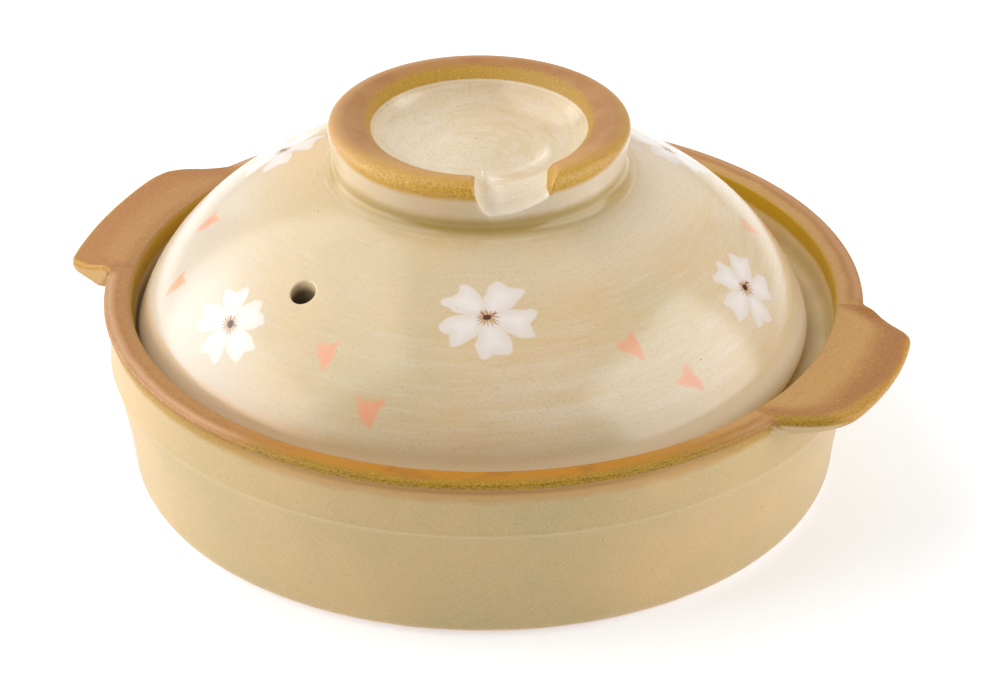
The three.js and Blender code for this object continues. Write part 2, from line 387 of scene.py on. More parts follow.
# Pot with its lugs
def lug_side(root, corner, cut):
    """A lug's root, the start and the corner of the rounding at its end, and the angle where that ends."""
    turn = corner - math.copysign(math.degrees(cut / LUG_RADIUS), corner)
    at_root = polar(RIM_RADIUS, root)
    at_corner = polar(LUG_RADIUS, corner)
    line = at_root - at_corner
    return at_root, at_corner + line * cut / np.linalg.norm(line), at_corner, turn


def lug_outline():
    """The angle and the reach past the rim along one lug's outline, seen from above."""
    tuck = polar(RIM_RADIUS - LUG_TUCK, -LUG_SWEPT_ROOT - LUG_TUCK_SPREAD)
    swept = lug_side(-LUG_SWEPT_ROOT, -LUG_SWEPT_CORNER, LUG_SWEPT_CUT)
    steep = lug_side(LUG_STEEP_ROOT, LUG_STEEP_CORNER, LUG_STEEP_CUT)
    swept_root, swept_flank, swept_corner, swept_turn = swept
    steep_root, steep_flank, steep_corner, steep_turn = steep
    way = np.concatenate([
        bend(tuck, swept_root, swept_flank, count=30),
        bend(swept_flank, swept_corner, polar(LUG_RADIUS, swept_turn), count=12),
        polar(LUG_RADIUS, np.linspace(swept_turn, steep_turn, num=20)),
        bend(polar(LUG_RADIUS, steep_turn), steep_corner, steep_flank, count=12),
        straight(steep_flank, steep_root, count=12),
        steep_root[None],
    ])
    return np.degrees(np.arctan2(way[:, 1], way[:, 0])), np.hypot(way[:, 0], way[:, 1]) - RIM_RADIUS


def from_lug(turns):
    """Angles from the middle of the nearer lug."""
    return (turns + 90) % 180 - 90


def lug_reach(turns, softness=LUG_SOFTNESS):
    """How far the rim reaches out into a lug at each angle, with softened corners."""
    fine = np.arange(-90, 90, BLUR_STEP)
    reach = np.interp(fine, *lug_outline(), left=0, right=0).clip(0)
    far = BLUR_REACH * softness
    spread = np.arange(-far, far + BLUR_STEP, BLUR_STEP)
    weights = np.exp(-((spread / softness) ** 2) / 2)
    reach = np.convolve(reach, weights / weights.sum(), "same")
    return np.interp(from_lug(turns), fine, reach)


def pot_turns():
    """Angles of the pot's lines, closer together at the lugs."""
    coarse = np.linspace(LUG_ZONE, 180 - LUG_ZONE, WALL_LINES, endpoint=False)
    fine = np.linspace(-LUG_ZONE, LUG_ZONE, LUG_LINES, endpoint=False)
    return np.concatenate([fine, coarse, fine + 180, coarse + 180])


def pot_outside():
    """The foot, the heel and the wall, up to the lugs' lowest place."""
    heel = FOOT_RADIUS + HEEL_SPREAD
    wall_mid = (HEEL_HEIGHT + RIDGE_HEIGHT) / 2
    return [
        straight((0, 0), (FOOT_RADIUS, 0), count=10),
        arc((FOOT_RADIUS, HEEL_HEIGHT), (HEEL_SPREAD, HEEL_HEIGHT), -QUARTER, 0, count=10),
        bend((heel, HEEL_HEIGHT), (heel + WALL_SWEEP, wall_mid), (WALL_RADIUS, RIDGE_HEIGHT), count=44),
        straight((WALL_RADIUS, RIDGE_HEIGHT), (WALL_RADIUS, LUG_LOWEST), count=10),
    ]


def pot_edge(turns, reach, rooted):
    """The rim's outer edge on every line, drawn out into the lugs."""
    lines = len(turns)
    grown = ease(0, LUG_FAIRING, reach)

    def at(radius, height):
        return np.stack(np.broadcast_arrays(np.full(lines, radius), height), -1)

    out, aside = polar(RIM_RADIUS + reach, from_lug(turns)).T
    width = polar(LUG_RADIUS, LUG_STEEP_CORNER)[1] + polar(LUG_RADIUS, LUG_SWEPT_CORNER)[1]
    lean = LUG_TILT / width * aside
    fall = LUG_SLOPE * (out - RIM_RADIUS) + lean * ease(0, LUG_LEAN_REACH, reach)
    edge_top = POT_HEIGHT + (LUG_TOP - POT_HEIGHT - np.maximum(fall, 0)) * grown
    outward = (RIM_RADIUS + reach - WALL_RADIUS) / (LUG_RADIUS - WALL_RADIUS)
    under = LUG_FOOT + (LUG_TIP - LUG_EDGE - LUG_FOOT) * outward - lean
    root = RIM_FOOT + (LUG_FOOT - lean - RIM_FOOT) * rooted
    face_foot = RIM_FOOT + RIM_FACE_LIFT
    edge_foot = face_foot + (under - face_foot) * rooted
    return rounded(
        [
            at(WALL_RADIUS, LUG_LOWEST),
            at(WALL_RADIUS, root),
            np.stack([RIM_RADIUS + reach, edge_foot], -1),
            np.stack([RIM_RADIUS + reach, edge_top], -1),
            at(RIM_TOP_START, POT_HEIGHT),
        ],
        cuts=[
            RIM_FILLET + (LUG_FILLET - RIM_FILLET) * grown,
            RIM_FACE_ROUND + (LUG_ROUND - RIM_FACE_ROUND) * grown,
            np.full(lines, RIM_ROUND),
        ],
        counts=[12, 12, 5, 12],
        steps=EDGE_STEPS,
    )


def pot_inside():
    """The rim's top, the recess, the ledge for the lid, the bowl and the floor."""
    rim_mid = ((RIM_RADIUS + RIM_INSIDE) / 2, POT_HEIGHT + RIM_CROWN)
    rim_end = (RIM_INSIDE + RIM_ROUND, POT_HEIGHT)
    recess_start = (RIM_INSIDE, POT_HEIGHT - RIM_ROUND)
    fillet_start = (RECESS_RADIUS, LEDGE_HEIGHT + RECESS_FILLET)
    fillet_end = (RECESS_RADIUS - RECESS_FILLET, LEDGE_HEIGHT)
    nose_start = (LEDGE_RADIUS + LEDGE_NOSE, LEDGE_HEIGHT)
    nose_end = (LEDGE_RADIUS, LEDGE_HEIGHT - LEDGE_NOSE)
    shelf_foot = (BOWL_RADIUS, LEDGE_HEIGHT - 2 * SHELF_THICKNESS)
    curve_middle = FLOOR_THICKNESS + FLOOR_CURVE
    floor_end = BOWL_RADIUS - FLOOR_CURVE
    return [
        bend((RIM_TOP_START, POT_HEIGHT), rim_mid, rim_end, count=5),
        bend(rim_end, (RIM_INSIDE, POT_HEIGHT), recess_start, count=INNER_STEPS),
        straight(recess_start, fillet_start, count=9),
        bend(fillet_start, (RECESS_RADIUS, LEDGE_HEIGHT), fillet_end, count=7),
        straight(fillet_end, nose_start, count=4),
        bend(nose_start, (LEDGE_RADIUS, LEDGE_HEIGHT), nose_end, count=4),
        bend(nose_end, (LEDGE_RADIUS, LEDGE_HEIGHT - SHELF_THICKNESS), shelf_foot, count=6),
        straight(shelf_foot, (BOWL_RADIUS, curve_middle), count=4),
        arc((floor_end, curve_middle), (FLOOR_CURVE, FLOOR_CURVE), 0, -QUARTER, count=8),
        straight((floor_end, FLOOR_THICKNESS), (0, FLOOR_THICKNESS), count=9),
        np.array([[0, FLOOR_THICKNESS]]),
    ]


def pot_skin():
    """The pot with its lugs, as one piece."""
    turns = pot_turns()
    reach = lug_reach(turns)
    rooted = ease(0, LUG_ROOT_FAIRING, reach)
    before = pot_outside()
    edge = pot_edge(turns, reach, rooted)
    profile, starts = joined(before + edge + pot_inside(), len(turns))
    far = lengths(profile)
    outer_edge = starts[len(before) + len(edge) - 2] + EDGE_STEPS // 2
    inner_edge = starts[len(before) + len(edge) + 1] + INNER_STEPS // 2
    height = profile[..., 1]
    wall = (profile[..., 0] > FOOT_RADIUS) & (height < LUG_LOWEST)
    ridge = RIDGE_PROUD * swell((height - RIDGE_HEIGHT) / RIDGE_WIDTH)
    profile[..., 0] += np.where(wall, ridge, 0)
    below = (profile[..., 0] > FOOT_RADIUS) & (np.arange(profile.shape[1]) < starts[len(before) + 1])
    bead = BEAD_PROUD * swell((height - (RIM_FOOT - BEAD_DROP)) / BEAD_WIDTH) * (1 - rooted[:, None])
    profile[..., 0] += np.where(below, bead, 0)
    skin = Skin(in_space(profile, turns[:, None]))
    skin.cover()
    skin.note("from_edge", far - far[:, outer_edge, None])
    skin.note("from_inside", far - far[:, inner_edge, None])
    skin.note("reach", reach[:, None])
    skin.note("nearness", lug_reach(turns, LUG_NEARNESS)[:, None])
    return skin.mesh("pot_with_lugs", (0, 0))


# Lid with its knob
def notch_height(across):
    """Height of the notch's surface at a distance across it. Outside the notch it is out of reach."""
    floor = KNOB_TOP - NOTCH_DEPTH
    away = KNOB_TOP + NOTCH_DEPTH
    middle = (NOTCH_LEAN + NOTCH_WIDTH) / 2
    flared = NOTCH_WIDTH + NOTCH_FLARE
    rise = (NOTCH_WIDTH, floor + NOTCH_RISE)
    section = np.concatenate([
        [(-NOTCH_STEP, away)],
        bend((0, KNOB_TOP - KNOB_RING_FALL), (NOTCH_LEAN / 2, floor), (NOTCH_LEAN, floor), count=8),
        bend((NOTCH_LEAN, floor), (middle, floor), rise, count=8),
        bend(rise, (NOTCH_WIDTH, KNOB_TOP), (flared, KNOB_TOP), count=12),
        [(flared, KNOB_TOP), (flared + NOTCH_FADE, away)],
    ])
    return np.interp(across, section[:, 0], section[:, 1], left=away, right=away)


def flattened(profile, height):
    """A profile with what stands above a height replaced by a floor at that height."""
    above = np.flatnonzero(profile[:, 1] > height)
    if not len(above):
        return profile
    first, last = above[0], above[-1]

    def crossing(low, high):
        share = (height - profile[low, 1]) / (profile[high, 1] - profile[low, 1])
        return profile[low] + share * (profile[high] - profile[low])

    start, end = crossing(first - 1, first), crossing(last + 1, last)
    made = profile.copy()
    made[first : last + 1] = np.linspace(start, end, last - first + 1)
    return made


def lid_turns():
    """Angles of the lid's lines, closer together at the notch and the vent."""
    notch_low, notch_high = (NOTCH_DIRECTION + turn for turn in NOTCH_ZONE)
    vent_low, vent_high = VENT_DIRECTION - VENT_ZONE, VENT_DIRECTION + VENT_ZONE
    return np.concatenate([
        np.arange(vent_low, vent_high, VENT_TURN),
        np.arange(vent_high, notch_low, LID_TURN),
        np.arange(notch_low, notch_high, NOTCH_TURN),
        np.arange(notch_high, vent_low + 360, LID_TURN),
    ])


def turned_from(turns, direction):
    """Angles from a direction, between -180 and 180 degrees."""
    return (turns - direction + 180) % 360 - 180


def nearest(distances):
    return int(np.argmin(np.abs(distances)))


def lid_hollow():
    """The hollow under the lid, from its middle out to the seat."""
    ceiling = CROWN_HEIGHT - CROWN_THICKNESS
    radii = np.concatenate([
        np.linspace(0, CEILING_FLAT, num=16, endpoint=False),
        np.linspace(CEILING_FLAT, HOLLOW_RADIUS, num=34, endpoint=False),
    ])
    bare = dome_height(radii, LID_THICKNESS)
    blend = np.clip((1 + (ceiling - bare) / CEILING_ROUND) / 2, 0, 1)
    under = ceiling + (bare - ceiling) * blend - CEILING_ROUND * blend * (1 - blend)
    return np.stack([radii, under], 1)


def lid_outside():
    """The seat ring, the lid's edge and the dome."""
    outside = LID_RADIUS - LID_EDGE_ROUND
    widest = LID_BOTTOM + LID_EDGE_HEIGHT
    widest_turn = math.asin((LID_EDGE_HEIGHT + DOME_DROP) / DOME_RISE)
    crown_turn = math.acos(KNOB_FOOT_RADIUS / DOME_RADIUS)
    seat = np.array([
        (HOLLOW_RADIUS, LID_BOTTOM + SEAT_RISE),
        (outside - SEAT_WIDTH, LID_BOTTOM),
        (outside, LID_BOTTOM),
    ])
    return [
        *rounded(seat, cuts=[SEAT_ROUND], counts=[8, 5], steps=4),
        bend((outside, LID_BOTTOM), (LID_RADIUS, LID_BOTTOM), (LID_RADIUS, widest), count=8),
        arc((0, DOME_MIDDLE), (DOME_RADIUS, DOME_RISE), widest_turn, crown_turn, count=70),
    ]


def knob_outside():
    """The knob's root, neck, ring and dish."""
    neck = (KNOB_NECK_RADIUS, CROWN_HEIGHT + KNOB_NECK_HEIGHT)
    slope = KNOB_FOOT - float(dome_height(KNOB_FOOT_RADIUS + 1, 0))
    corner = KNOB_FOOT + slope * (KNOB_FOOT_RADIUS - KNOB_NECK_RADIUS)
    band = (KNOB_RADIUS, KNOB_TOP - KNOB_BAND)
    ring_start = np.array([KNOB_RADIUS - KNOB_ROUND, KNOB_TOP])
    ring_end = np.array([DISH_RADIUS, KNOB_TOP - KNOB_RING_FALL])
    ring_crown = (ring_start + ring_end) / 2 + (0, 2 * KNOB_RING_CROWN)
    share = np.linspace(1, 0, num=26)
    dish = KNOB_TOP - DISH_DEPTH + (DISH_DEPTH - KNOB_RING_FALL) * share**DISH_POWER
    return [
        bend((KNOB_FOOT_RADIUS, KNOB_FOOT), (KNOB_NECK_RADIUS, corner), neck, count=12),
        straight(neck, band, count=9),
        bend(band, (KNOB_RADIUS, KNOB_TOP), ring_start, count=10),
        bend(ring_start, ring_crown, ring_end, count=12),
        np.stack([DISH_RADIUS * share, dish], 1),
    ]


def along_notch(profile, offset, across):
    """Turns that keep the knob's lines straight along the notch, and fade away from it."""
    held = ease(*HELD_START, offset) * (1 - ease(*HELD_END, offset))
    radius = np.maximum(profile[..., 0], 1)
    parallel = np.degrees(np.arcsin(np.clip(across[:, None] / radius, -STEEPEST, STEEPEST)))
    on_knob = ease(*HELD_INSIDE, radius) * (1 - ease(*HELD_OUTSIDE, radius))
    return on_knob * held[:, None] * (parallel - offset[:, None])


def off_axis(profile, angle, dome_part, foot_part, neck_part):
    """Places, with the knob off the dome's axis and the dome near its foot following it."""
    aside = 1 - ease(KNOB_FOOT_RADIUS, KNOB_FOOT_RADIUS + KNOB_FAIRING, profile[0, :, 0])
    aside[:dome_part] = 0
    aside[foot_part:] = 1
    places = in_space(profile, angle, LID_MIDDLE + aside[:, None] * (KNOB_MIDDLE - LID_MIDDLE))
    dome = slice(dome_part, foot_part + 1)
    places[:, dome, 2] = dome_height(np.linalg.norm(places[:, dome, :2] - LID_MIDDLE, axis=-1), 0)
    lifted = places[:, foot_part, 2] - KNOB_FOOT
    fading = np.linspace(1, 0, neck_part - foot_part + 1)[1:]
    places[:, foot_part + 1 : neck_part + 1, 2] += lifted[:, None] * fading
    return places


def soften(places, weight, passes):
    """Places moved towards their neighbours on both sides and along, where the weight says."""
    for _ in range(passes):
        near = (np.roll(places, 1, 0) + np.roll(places, -1, 0)) / 2
        along = places.copy()
        along[:, 1:-1] = (places[:, :-2] + places[:, 2:]) / 2
        places = places + weight[..., None] * ((near + along) / 2 - places)
    return places


def soft_notch(places, offset, foot_part, dish_part):
    """Places with the notch's edges softened, most where it opens into the dish."""
    weight = np.zeros(places.shape[:2])
    near_notch = ease(*SOFT_START, offset) * (1 - ease(*SOFT_END, offset))
    weight[:, foot_part + SOFT_FOOT : -SOFT_TIP] = near_notch[:, None]
    places = soften(places, weight, SOFT_PASSES)
    weight[:, : dish_part - 1] = 0
    weight *= (ease(*DISH_SOFT_START, offset) * (1 - ease(*DISH_SOFT_END, offset)))[:, None]
    return soften(places, weight, DISH_SOFT_PASSES)


def cover_with_vent(skin, turns, outer, inner):
    """Faces all over the lid, with the vent's two mouths round the given points, and down its bore."""
    first = nearest(turned_from(turns, VENT_DIRECTION)) - VENT_LINES
    last = first + 2 * VENT_LINES
    outer_hole = (first, last, outer - VENT_POINTS, outer + VENT_POINTS)
    inner_hole = (first, last, inner - VENT_POINTS, inner + VENT_POINTS)
    skin.cover([outer_hole, inner_hole])
    outer_loop = skin.around(*outer_hole)
    inner_loop = skin.around(first, last, inner + VENT_POINTS, inner - VENT_POINTS)
    skin.tube(outer_loop, vent_rings(skin, outer_loop, inner_loop), inner_loop)


def vent_rings(skin, outer_loop, inner_loop):
    """Rings from the dome's outside over a rounded lip, down the vent and out over the inner lip."""
    outer = np.array([skin.places[index][:2] for index in outer_loop])
    inner = np.array([skin.places[index][:2] for index in inner_loop])
    vent = polar(VENT_PLACE, VENT_DIRECTION)
    middle = vent + LID_MIDDLE
    toward = (outer - middle) / np.linalg.norm(outer - middle, axis=1, keepdims=True)
    outward = vent / np.linalg.norm(vent)
    toward = toward - (1 - VENT_FLATTENING) * (toward @ outward)[:, None] * outward

    def ring(flat, inset, drop):
        height = dome_height(np.linalg.norm(flat - LID_MIDDLE, axis=1), inset) - drop
        return np.column_stack([flat, height])

    def lip_ring(turn, inset, down):
        flat = middle + toward * (VENT_RADIUS + VENT_LIP * (1 - math.sin(turn)))
        return ring(flat, inset, down * VENT_LIP * (1 - math.cos(turn)))

    lip = middle + toward * (VENT_RADIUS + VENT_LIP)
    for share in LIP_SHARES:
        yield ring(outer + share * (lip - outer), 0, 0)
    for turn in np.radians(LIP_TURNS):
        yield lip_ring(turn, 0, 1)
    bore = middle + toward * VENT_RADIUS
    top, foot = ring(bore, 0, VENT_LIP), ring(bore, LID_THICKNESS, -VENT_LIP)
    for share in BORE_SHARES:
        yield top + share * (foot - top)
    for turn in np.radians(INNER_LIP_TURNS):
        yield lip_ring(turn, LID_THICKNESS, -1)
    for share in LIP_SHARES[:-1]:
        yield ring(lip + share * (inner - lip), LID_THICKNESS, 0)


def lid_skin():
    """The lid with its knob, notch and vent, as one piece."""
    turns = lid_turns()
    hollow = lid_hollow()
    outside = lid_outside()
    profile, starts = joined([hollow, *outside, *knob_outside()], len(turns))
    dome_part, foot_part, neck_part, _, top_part, dish_part = starts[len(outside) : -1]
    far = lengths(profile)
    heights = profile[..., 1].copy()
    offset = turned_from(turns, NOTCH_DIRECTION)
    middle_radius = (KNOB_RADIUS + DISH_RADIUS) / 2
    across = np.where(np.abs(offset) < 90, middle_radius * np.sin(np.radians(offset)), 2 * KNOB_RADIUS)
    turning = along_notch(profile, offset, across)
    turning[:, :dome_part] = 0
    over = across - NOTCH_OFFSET
    for line, limit in zip(profile, notch_height(over)):
        line[foot_part:] = flattened(line[foot_part:], limit)
    places = off_axis(profile, turns[:, None] + turning, dome_part, foot_part, neck_part)
    skin = Skin(soft_notch(places, offset, foot_part, dish_part))
    outer = dome_part + nearest(profile[0, dome_part:foot_part, 0] - VENT_PLACE)
    cover_with_vent(skin, turns, outer, nearest(hollow[:, 0] - VENT_PLACE))

    lowered = heights - profile[..., 1]
    skin.note("along", far - far[:, dome_part, None])
    skin.note("from_ring", far - far[:, top_part, None])
    skin.note("from_dish", far - far[:, dish_part, None])
    skin.note("cut", np.where(over[:, None] < NOTCH_WIDTH, lowered, 0))
    skin.note("across", over[:, None])
    skin.note("end", lowered * (over[:, None] >= NOTCH_WIDTH))
    skin.note("outside", (np.arange(profile.shape[1]) >= dome_part).astype(float))
    return skin.mesh("lid_with_knob", LID_MIDDLE)


# Materials, written as formulas over nodes. A mix node's colour sockets are found by their numbers.
MIX_FIRST = 6
MIX_SECOND = 7
MIX_RESULT = 2


class Value:
    """The output of a node."""

    def __init__(self, graph, socket):
        self.graph = graph
        self.socket = socket

    def __add__(self, other):
        return self.graph.math("ADD", self, other)

    def __radd__(self, other):
        return self.graph.math("ADD", other, self)

    def __sub__(self, other):
        return self.graph.math("SUBTRACT", self, other)

    def __rsub__(self, other):
        return self.graph.math("SUBTRACT", other, self)

    def __mul__(self, other):
        return self.graph.math("MULTIPLY", self, other)

    def __rmul__(self, other):
        return self.graph.math("MULTIPLY", other, self)

    def __truediv__(self, other):
        return self.graph.math("DIVIDE", self, other)

    def ease(self, low, high):
        """Rises smoothly from 0 at low to 1 at high."""
        inputs = {"Value": self, "From Min": low, "From Max": high}
        return self.graph.node("MapRange", inputs, interpolation_type="SMOOTHSTEP")

    def band(self, low, high, soft):
        """1 between low and high, with soft ends."""
        return self.ease(low - soft, low + soft) * (1 - self.ease(high - soft, high + soft))

    def stray(self, width):
        """A noise as a distance to both sides, for borders that wander."""
        return width * (self - NOISE_MIDDLE)

    def coat(self, paint, share):
        """This colour with a share of another over it."""
        return self.graph.mix(share, self, paint)


class Graph:
    """A node tree that formulas are written into."""

    def __init__(self, tree):
        self.tree = tree

    def node(self, kind, inputs, output=0, **settings):
        """A new node with its inputs linked or set."""
        made = self.tree.nodes.new("ShaderNode" + kind)
        for key, value in settings.items():
            setattr(made, key, value)
        for key, value in inputs.items():
            if isinstance(value, Value):
                self.tree.links.new(value.socket, made.inputs[key])
            else:
                made.inputs[key].default_value = value
        return Value(self, made.outputs[output])

    def math(self, operation, *values):
        return self.node("Math", dict(enumerate(values)), operation=operation)

    def least(self, a, b):
        return self.math("MINIMUM", a, b)

    def most(self, a, b):
        return self.math("MAXIMUM", a, b)

    def size(self, value):
        return self.math("ABSOLUTE", value)

    def distance(self, x, y):
        return self.math("SQRT", x * x + y * y)

    def mix(self, share, a, b):
        inputs = {"Factor": share, MIX_FIRST: a, MIX_SECOND: b}
        return self.node("Mix", inputs, output=MIX_RESULT, data_type="RGBA")

    def vector(self, operation, *values, output=0):
        return self.node("VectorMath", dict(enumerate(values)), output=output, operation=operation)

    def scaled(self, vector, factor):
        made = self.vector("SCALE", vector)
        made.socket.node.inputs["Scale"].default_value = factor
        return made

    def along(self, vector, way):
        """How far a vector reaches in a direction."""
        return self.vector("DOT_PRODUCT", vector, tuple(way), output="Value")

    def noise(self, place, scale, detail=2.0, rough=0.5, output=0):
        inputs = {"Vector": place, "Scale": scale, "Detail": detail, "Roughness": rough}
        return self.node("TexNoise", inputs, output=output)

    def spots(self, place, scale, output="Distance"):
        return self.node("TexVoronoi", {"Vector": place, "Scale": scale}, output=output)

    def attribute(self, name):
        return self.node("Attribute", {}, output="Fac", attribute_name=name)

    def place(self):
        """The place on the piece, in millimetres, and its parts."""
        place = self.scaled(self.node("TexCoord", {}, output="Object"), 1 / MM)
        parts = self.tree.nodes.new("ShaderNodeSeparateXYZ")
        self.tree.links.new(place.socket, parts.inputs[0])
        return place, *(Value(self, parts.outputs[axis]) for axis in range(3))


# The curve between levels on a screen and light
SCREEN_LEVELS = 255
SCREEN_KNEE = 0.04045
SCREEN_SLOPE = 12.92
SCREEN_OFFSET = 0.055
SCREEN_POWER = 2.4


def colour(red, green, blue):
    """A colour given as it shows on a screen, from 0 to 255."""
    shares = np.array([red, green, blue]) / SCREEN_LEVELS
    curve = ((shares + SCREEN_OFFSET) / (1 + SCREEN_OFFSET)) ** SCREEN_POWER
    linear = np.where(shares > SCREEN_KNEE, curve, shares / SCREEN_SLOPE)
    return *linear.tolist(), 1.0


FRONT = (math.cos(math.radians(NOTCH_DIRECTION)), math.sin(math.radians(NOTCH_DIRECTION)), 0.0)
RIGHT = (-FRONT[1], FRONT[0], 0.0)

# Shares of a coat
BARELY = 0.06
TRACE = 0.1
HINT = 0.18
FAINT = 0.2
THIN = 0.25
LIGHT = 0.3
SOFT = 0.35
PART = 0.4
HALF = 0.5
MAIN = 0.6
MUCH = 0.7
HEAVY = 0.75
STRONG = 0.8
DENSE = 0.85
FULL = 0.9

# Noises, as cycles per millimetre, detail and roughness
NOISE_MIDDLE = 0.5
POT_CLOUD = (0.018, 3)
POT_MOTTLE = (0.09, 4)
POT_GRAIN = (1.1, 3, 0.7)
POT_FINE = (1.9, 2, 0.6)
LID_CLOUD = (0.02, 2)
LID_MOTTLE = (0.1, 4)
LID_GRAIN = (1.2, 3, 0.7)
BRUSH_NOISE = (1.0, 3, 0.6)
PAINT_NOISE = (0.16, 1.0)

# Where a noise starts to show and where it shows in full
PATCHES = (0.3, 0.7)
BREAKS = (0.4, 0.6)
FLECKS = (0.54, 0.7)
DARK_BREAKS = (0.5, 0.36)
DARK_GRAINS = (0.48, 0.36)
PALE_GRAINS = (0.52, 0.7)
POT_CLOUDS = (0.35, 0.65)
CLAY_GRAINS = (0.5, 0.75)
CLAY_FLECKS = (0.46, 0.3)
FLAMES = (0.5, 0.66)
MUSTARD_GRAINS = (0.5, 0.64)
LID_CLOUDS = (0.36, 0.64)
STREAKS = (0.45, 0.75)
DISH_STREAKS = (0.4, 0.65)
SWIRLS = (0.34, 0.66)
HAIRS = (0.45, 0.8)
SANDY_GRAINS = (0.48, 0.34)
SPECK_GRAINS = (0.46, 0.32)
OLIVE_GRAINS = (0.46, 0.36)

# How far borders wander
GROOVE_STRAY = 0.8
FINE_STRAY = 1.2
HIGHLIGHT_AND_RING_STRAY = 1.4
MUSTARD_STRAY = 1.6
POOL_STRAY = 1.8
BORDER_STRAY = 2
FRAYED_FINE = 2.4
FRAYED_BROAD = 2.5
BROAD_STRAY = 3
FOOT_STRAY = 4
FRONT_STRAY = 12

# Specks, as their spacing, radius and share
POT_SPECKS = ((5, 0.28, 0.5), (13, 0.5, 0.4))
LID_SPECKS = ((4, 0.22, 0.5), (11, 0.42, 0.4))
SPECK_HEART = 0.4
SPECK_FADE = 0.3
SPECK = colour(84, 60, 30)

# Colours of the pot, some of which the lid's ring shares
SAND = colour(191, 165, 118)
SAND_WARM = colour(201, 169, 118)
SAND_GREEN = colour(184, 161, 113)
SAND_SHADED = colour(170, 152, 102)
SAND_PALE = colour(210, 188, 148)
BARE_CLAY = colour(236, 214, 196)
RUST = colour(160, 106, 50)
RUST_DEEP = colour(142, 88, 34)
# Pale rust of the painted highlight along the rim's outer edge
RUST_HIGHLIGHT = colour(208, 166, 124)
TAN = colour(182, 137, 76)
AMBER = colour(172, 114, 10)
GOLD = colour(178, 131, 26)
GOLD_PALE = colour(207, 168, 90)
GOLD_BRIGHT = colour(216, 168, 66)
OLIVE = colour(160, 122, 14)
OLIVE_DARK = colour(96, 72, 6)
# Colour of the lining, raised to lighten the shade in the recess: partly painted light
INSIDE = colour(218, 192, 138)
MUSTARD = colour(186, 144, 0)


class Glaze:
    """A material, with the places and noises that its coats follow."""

    def __init__(self, name, gloss, cloud, mottle, grain):
        self.made = bpy.data.materials.new(name)
        self.made.use_nodes = True
        self.shader = self.made.node_tree.nodes["Principled BSDF"]
        self.shader.inputs["IOR"].default_value = gloss
        self.graph = graph = Graph(self.made.node_tree)
        self.place, self.x, self.y, self.z = graph.place()
        self.toward = graph.along(self.place, FRONT)
        self.aside = graph.along(self.place, RIGHT)
        self.cloud = graph.noise(self.place, *cloud)
        self.mottle = graph.noise(self.place, *mottle)
        self.grain = graph.noise(self.place, *grain)
        self.gold = self.speckled(self.grain, OLIVE, GOLD, GOLD_PALE)

    def speckled(self, grain, dark, middle, pale):
        """A glaze that breaks into dark and pale grains."""
        return self.graph.mix(grain.ease(*DARK_BREAKS), middle, dark).coat(pale, grain.ease(*FLECKS))

    def specks(self, spacing, size, share):
        """Small round specks, on a share of the cells of a pattern with that spacing."""
        near = self.graph.spots(self.place, 1 / spacing)
        chance = self.graph.spots(self.place, 1 / spacing, "Color")
        big = self.graph.node("SeparateColor", {0: chance}).ease(1 - share, 1)
        return (1 - near.ease(SPECK_HEART * size / spacing, size / spacing)) * big.ease(0, SPECK_FADE)

    def finish(self, tint, rough, relief, height):
        """The material with its colour, roughness and relief."""
        bump = self.graph.node("Bump", {"Strength": 1.0, "Distance": height * MM, "Height": relief})
        for name, value in {"Base Color": tint, "Roughness": rough, "Normal": bump}.items():
            self.graph.tree.links.new(value.socket, self.shader.inputs[name])
        return self.made


# The pot's gloss and zones: toward its front and right, up its height, in from its edge and on its lugs
POT_GLOSS = 1.5
POT_SHINE = 0.38
POT_ROUGH = 0.36
DRY_ROUGH = 0.12
POT_RELIEF = 0.12
# Where the front of the wall is painted in shade
FRONT_SHADE_ZONE = (106, 121)
FRONT_SHADE_SHARE = 0.32
FRONT_ZONE = (88, 114)
RIGHT_ZONE = (-60, 60)
RIDGE_LINE = 0.4
BARE_FOOT = (1.6, 2.6)
LUG_START = (0.3, 2.5)
SANDY_START = 3.5
SANDY_FULL = 6.5
SANDY_LUG_START = 4
SANDY_LUG_FULL = 9
SANDY_LEFT = 0.35
ROOT_NEAR = (0.3, 4)
ROOT_INWARD = (0.5, 3)
DEEP_BAND = (3.5, 6, 3)
# Where the painted highlight lies along the rim's outer edge, and where it fades near a lug
PAINTED_HIGHLIGHT_BAND = (0.4, 2.8, 1.5)
PAINTED_HIGHLIGHT_END = (0.1, 2.5)
OLIVE_EDGE = (1.2, 4.4)
NEAR_FLANK = (-27, -33)
WIDE_FLANK = (12, -33)
BEVEL_START = 0.2
BEVEL_FULL = 1.8
BEVEL_WIDE_START = 2.6
BEVEL_WIDE_FULL = 5
LUG_FACE = (-2.2, -1.2)
FLANK_LEFT = 0.15
RIM_FACE = (-1.8, -0.5)
BEAD_TOP = (-3.2, -2.2)
GROOVE_SHADE_SOFT = 0.6
RUST_END = -8.8
RUST_FULL = -6
LUG_RUST = (-10, -8.5)
RUST_HEIGHT = (40, 50)
SOLID_RUST = (-4.6, -3.6)
MUSTARD_BAND = (5, 7)
INNER_LINE = (-0.6, 0.8)


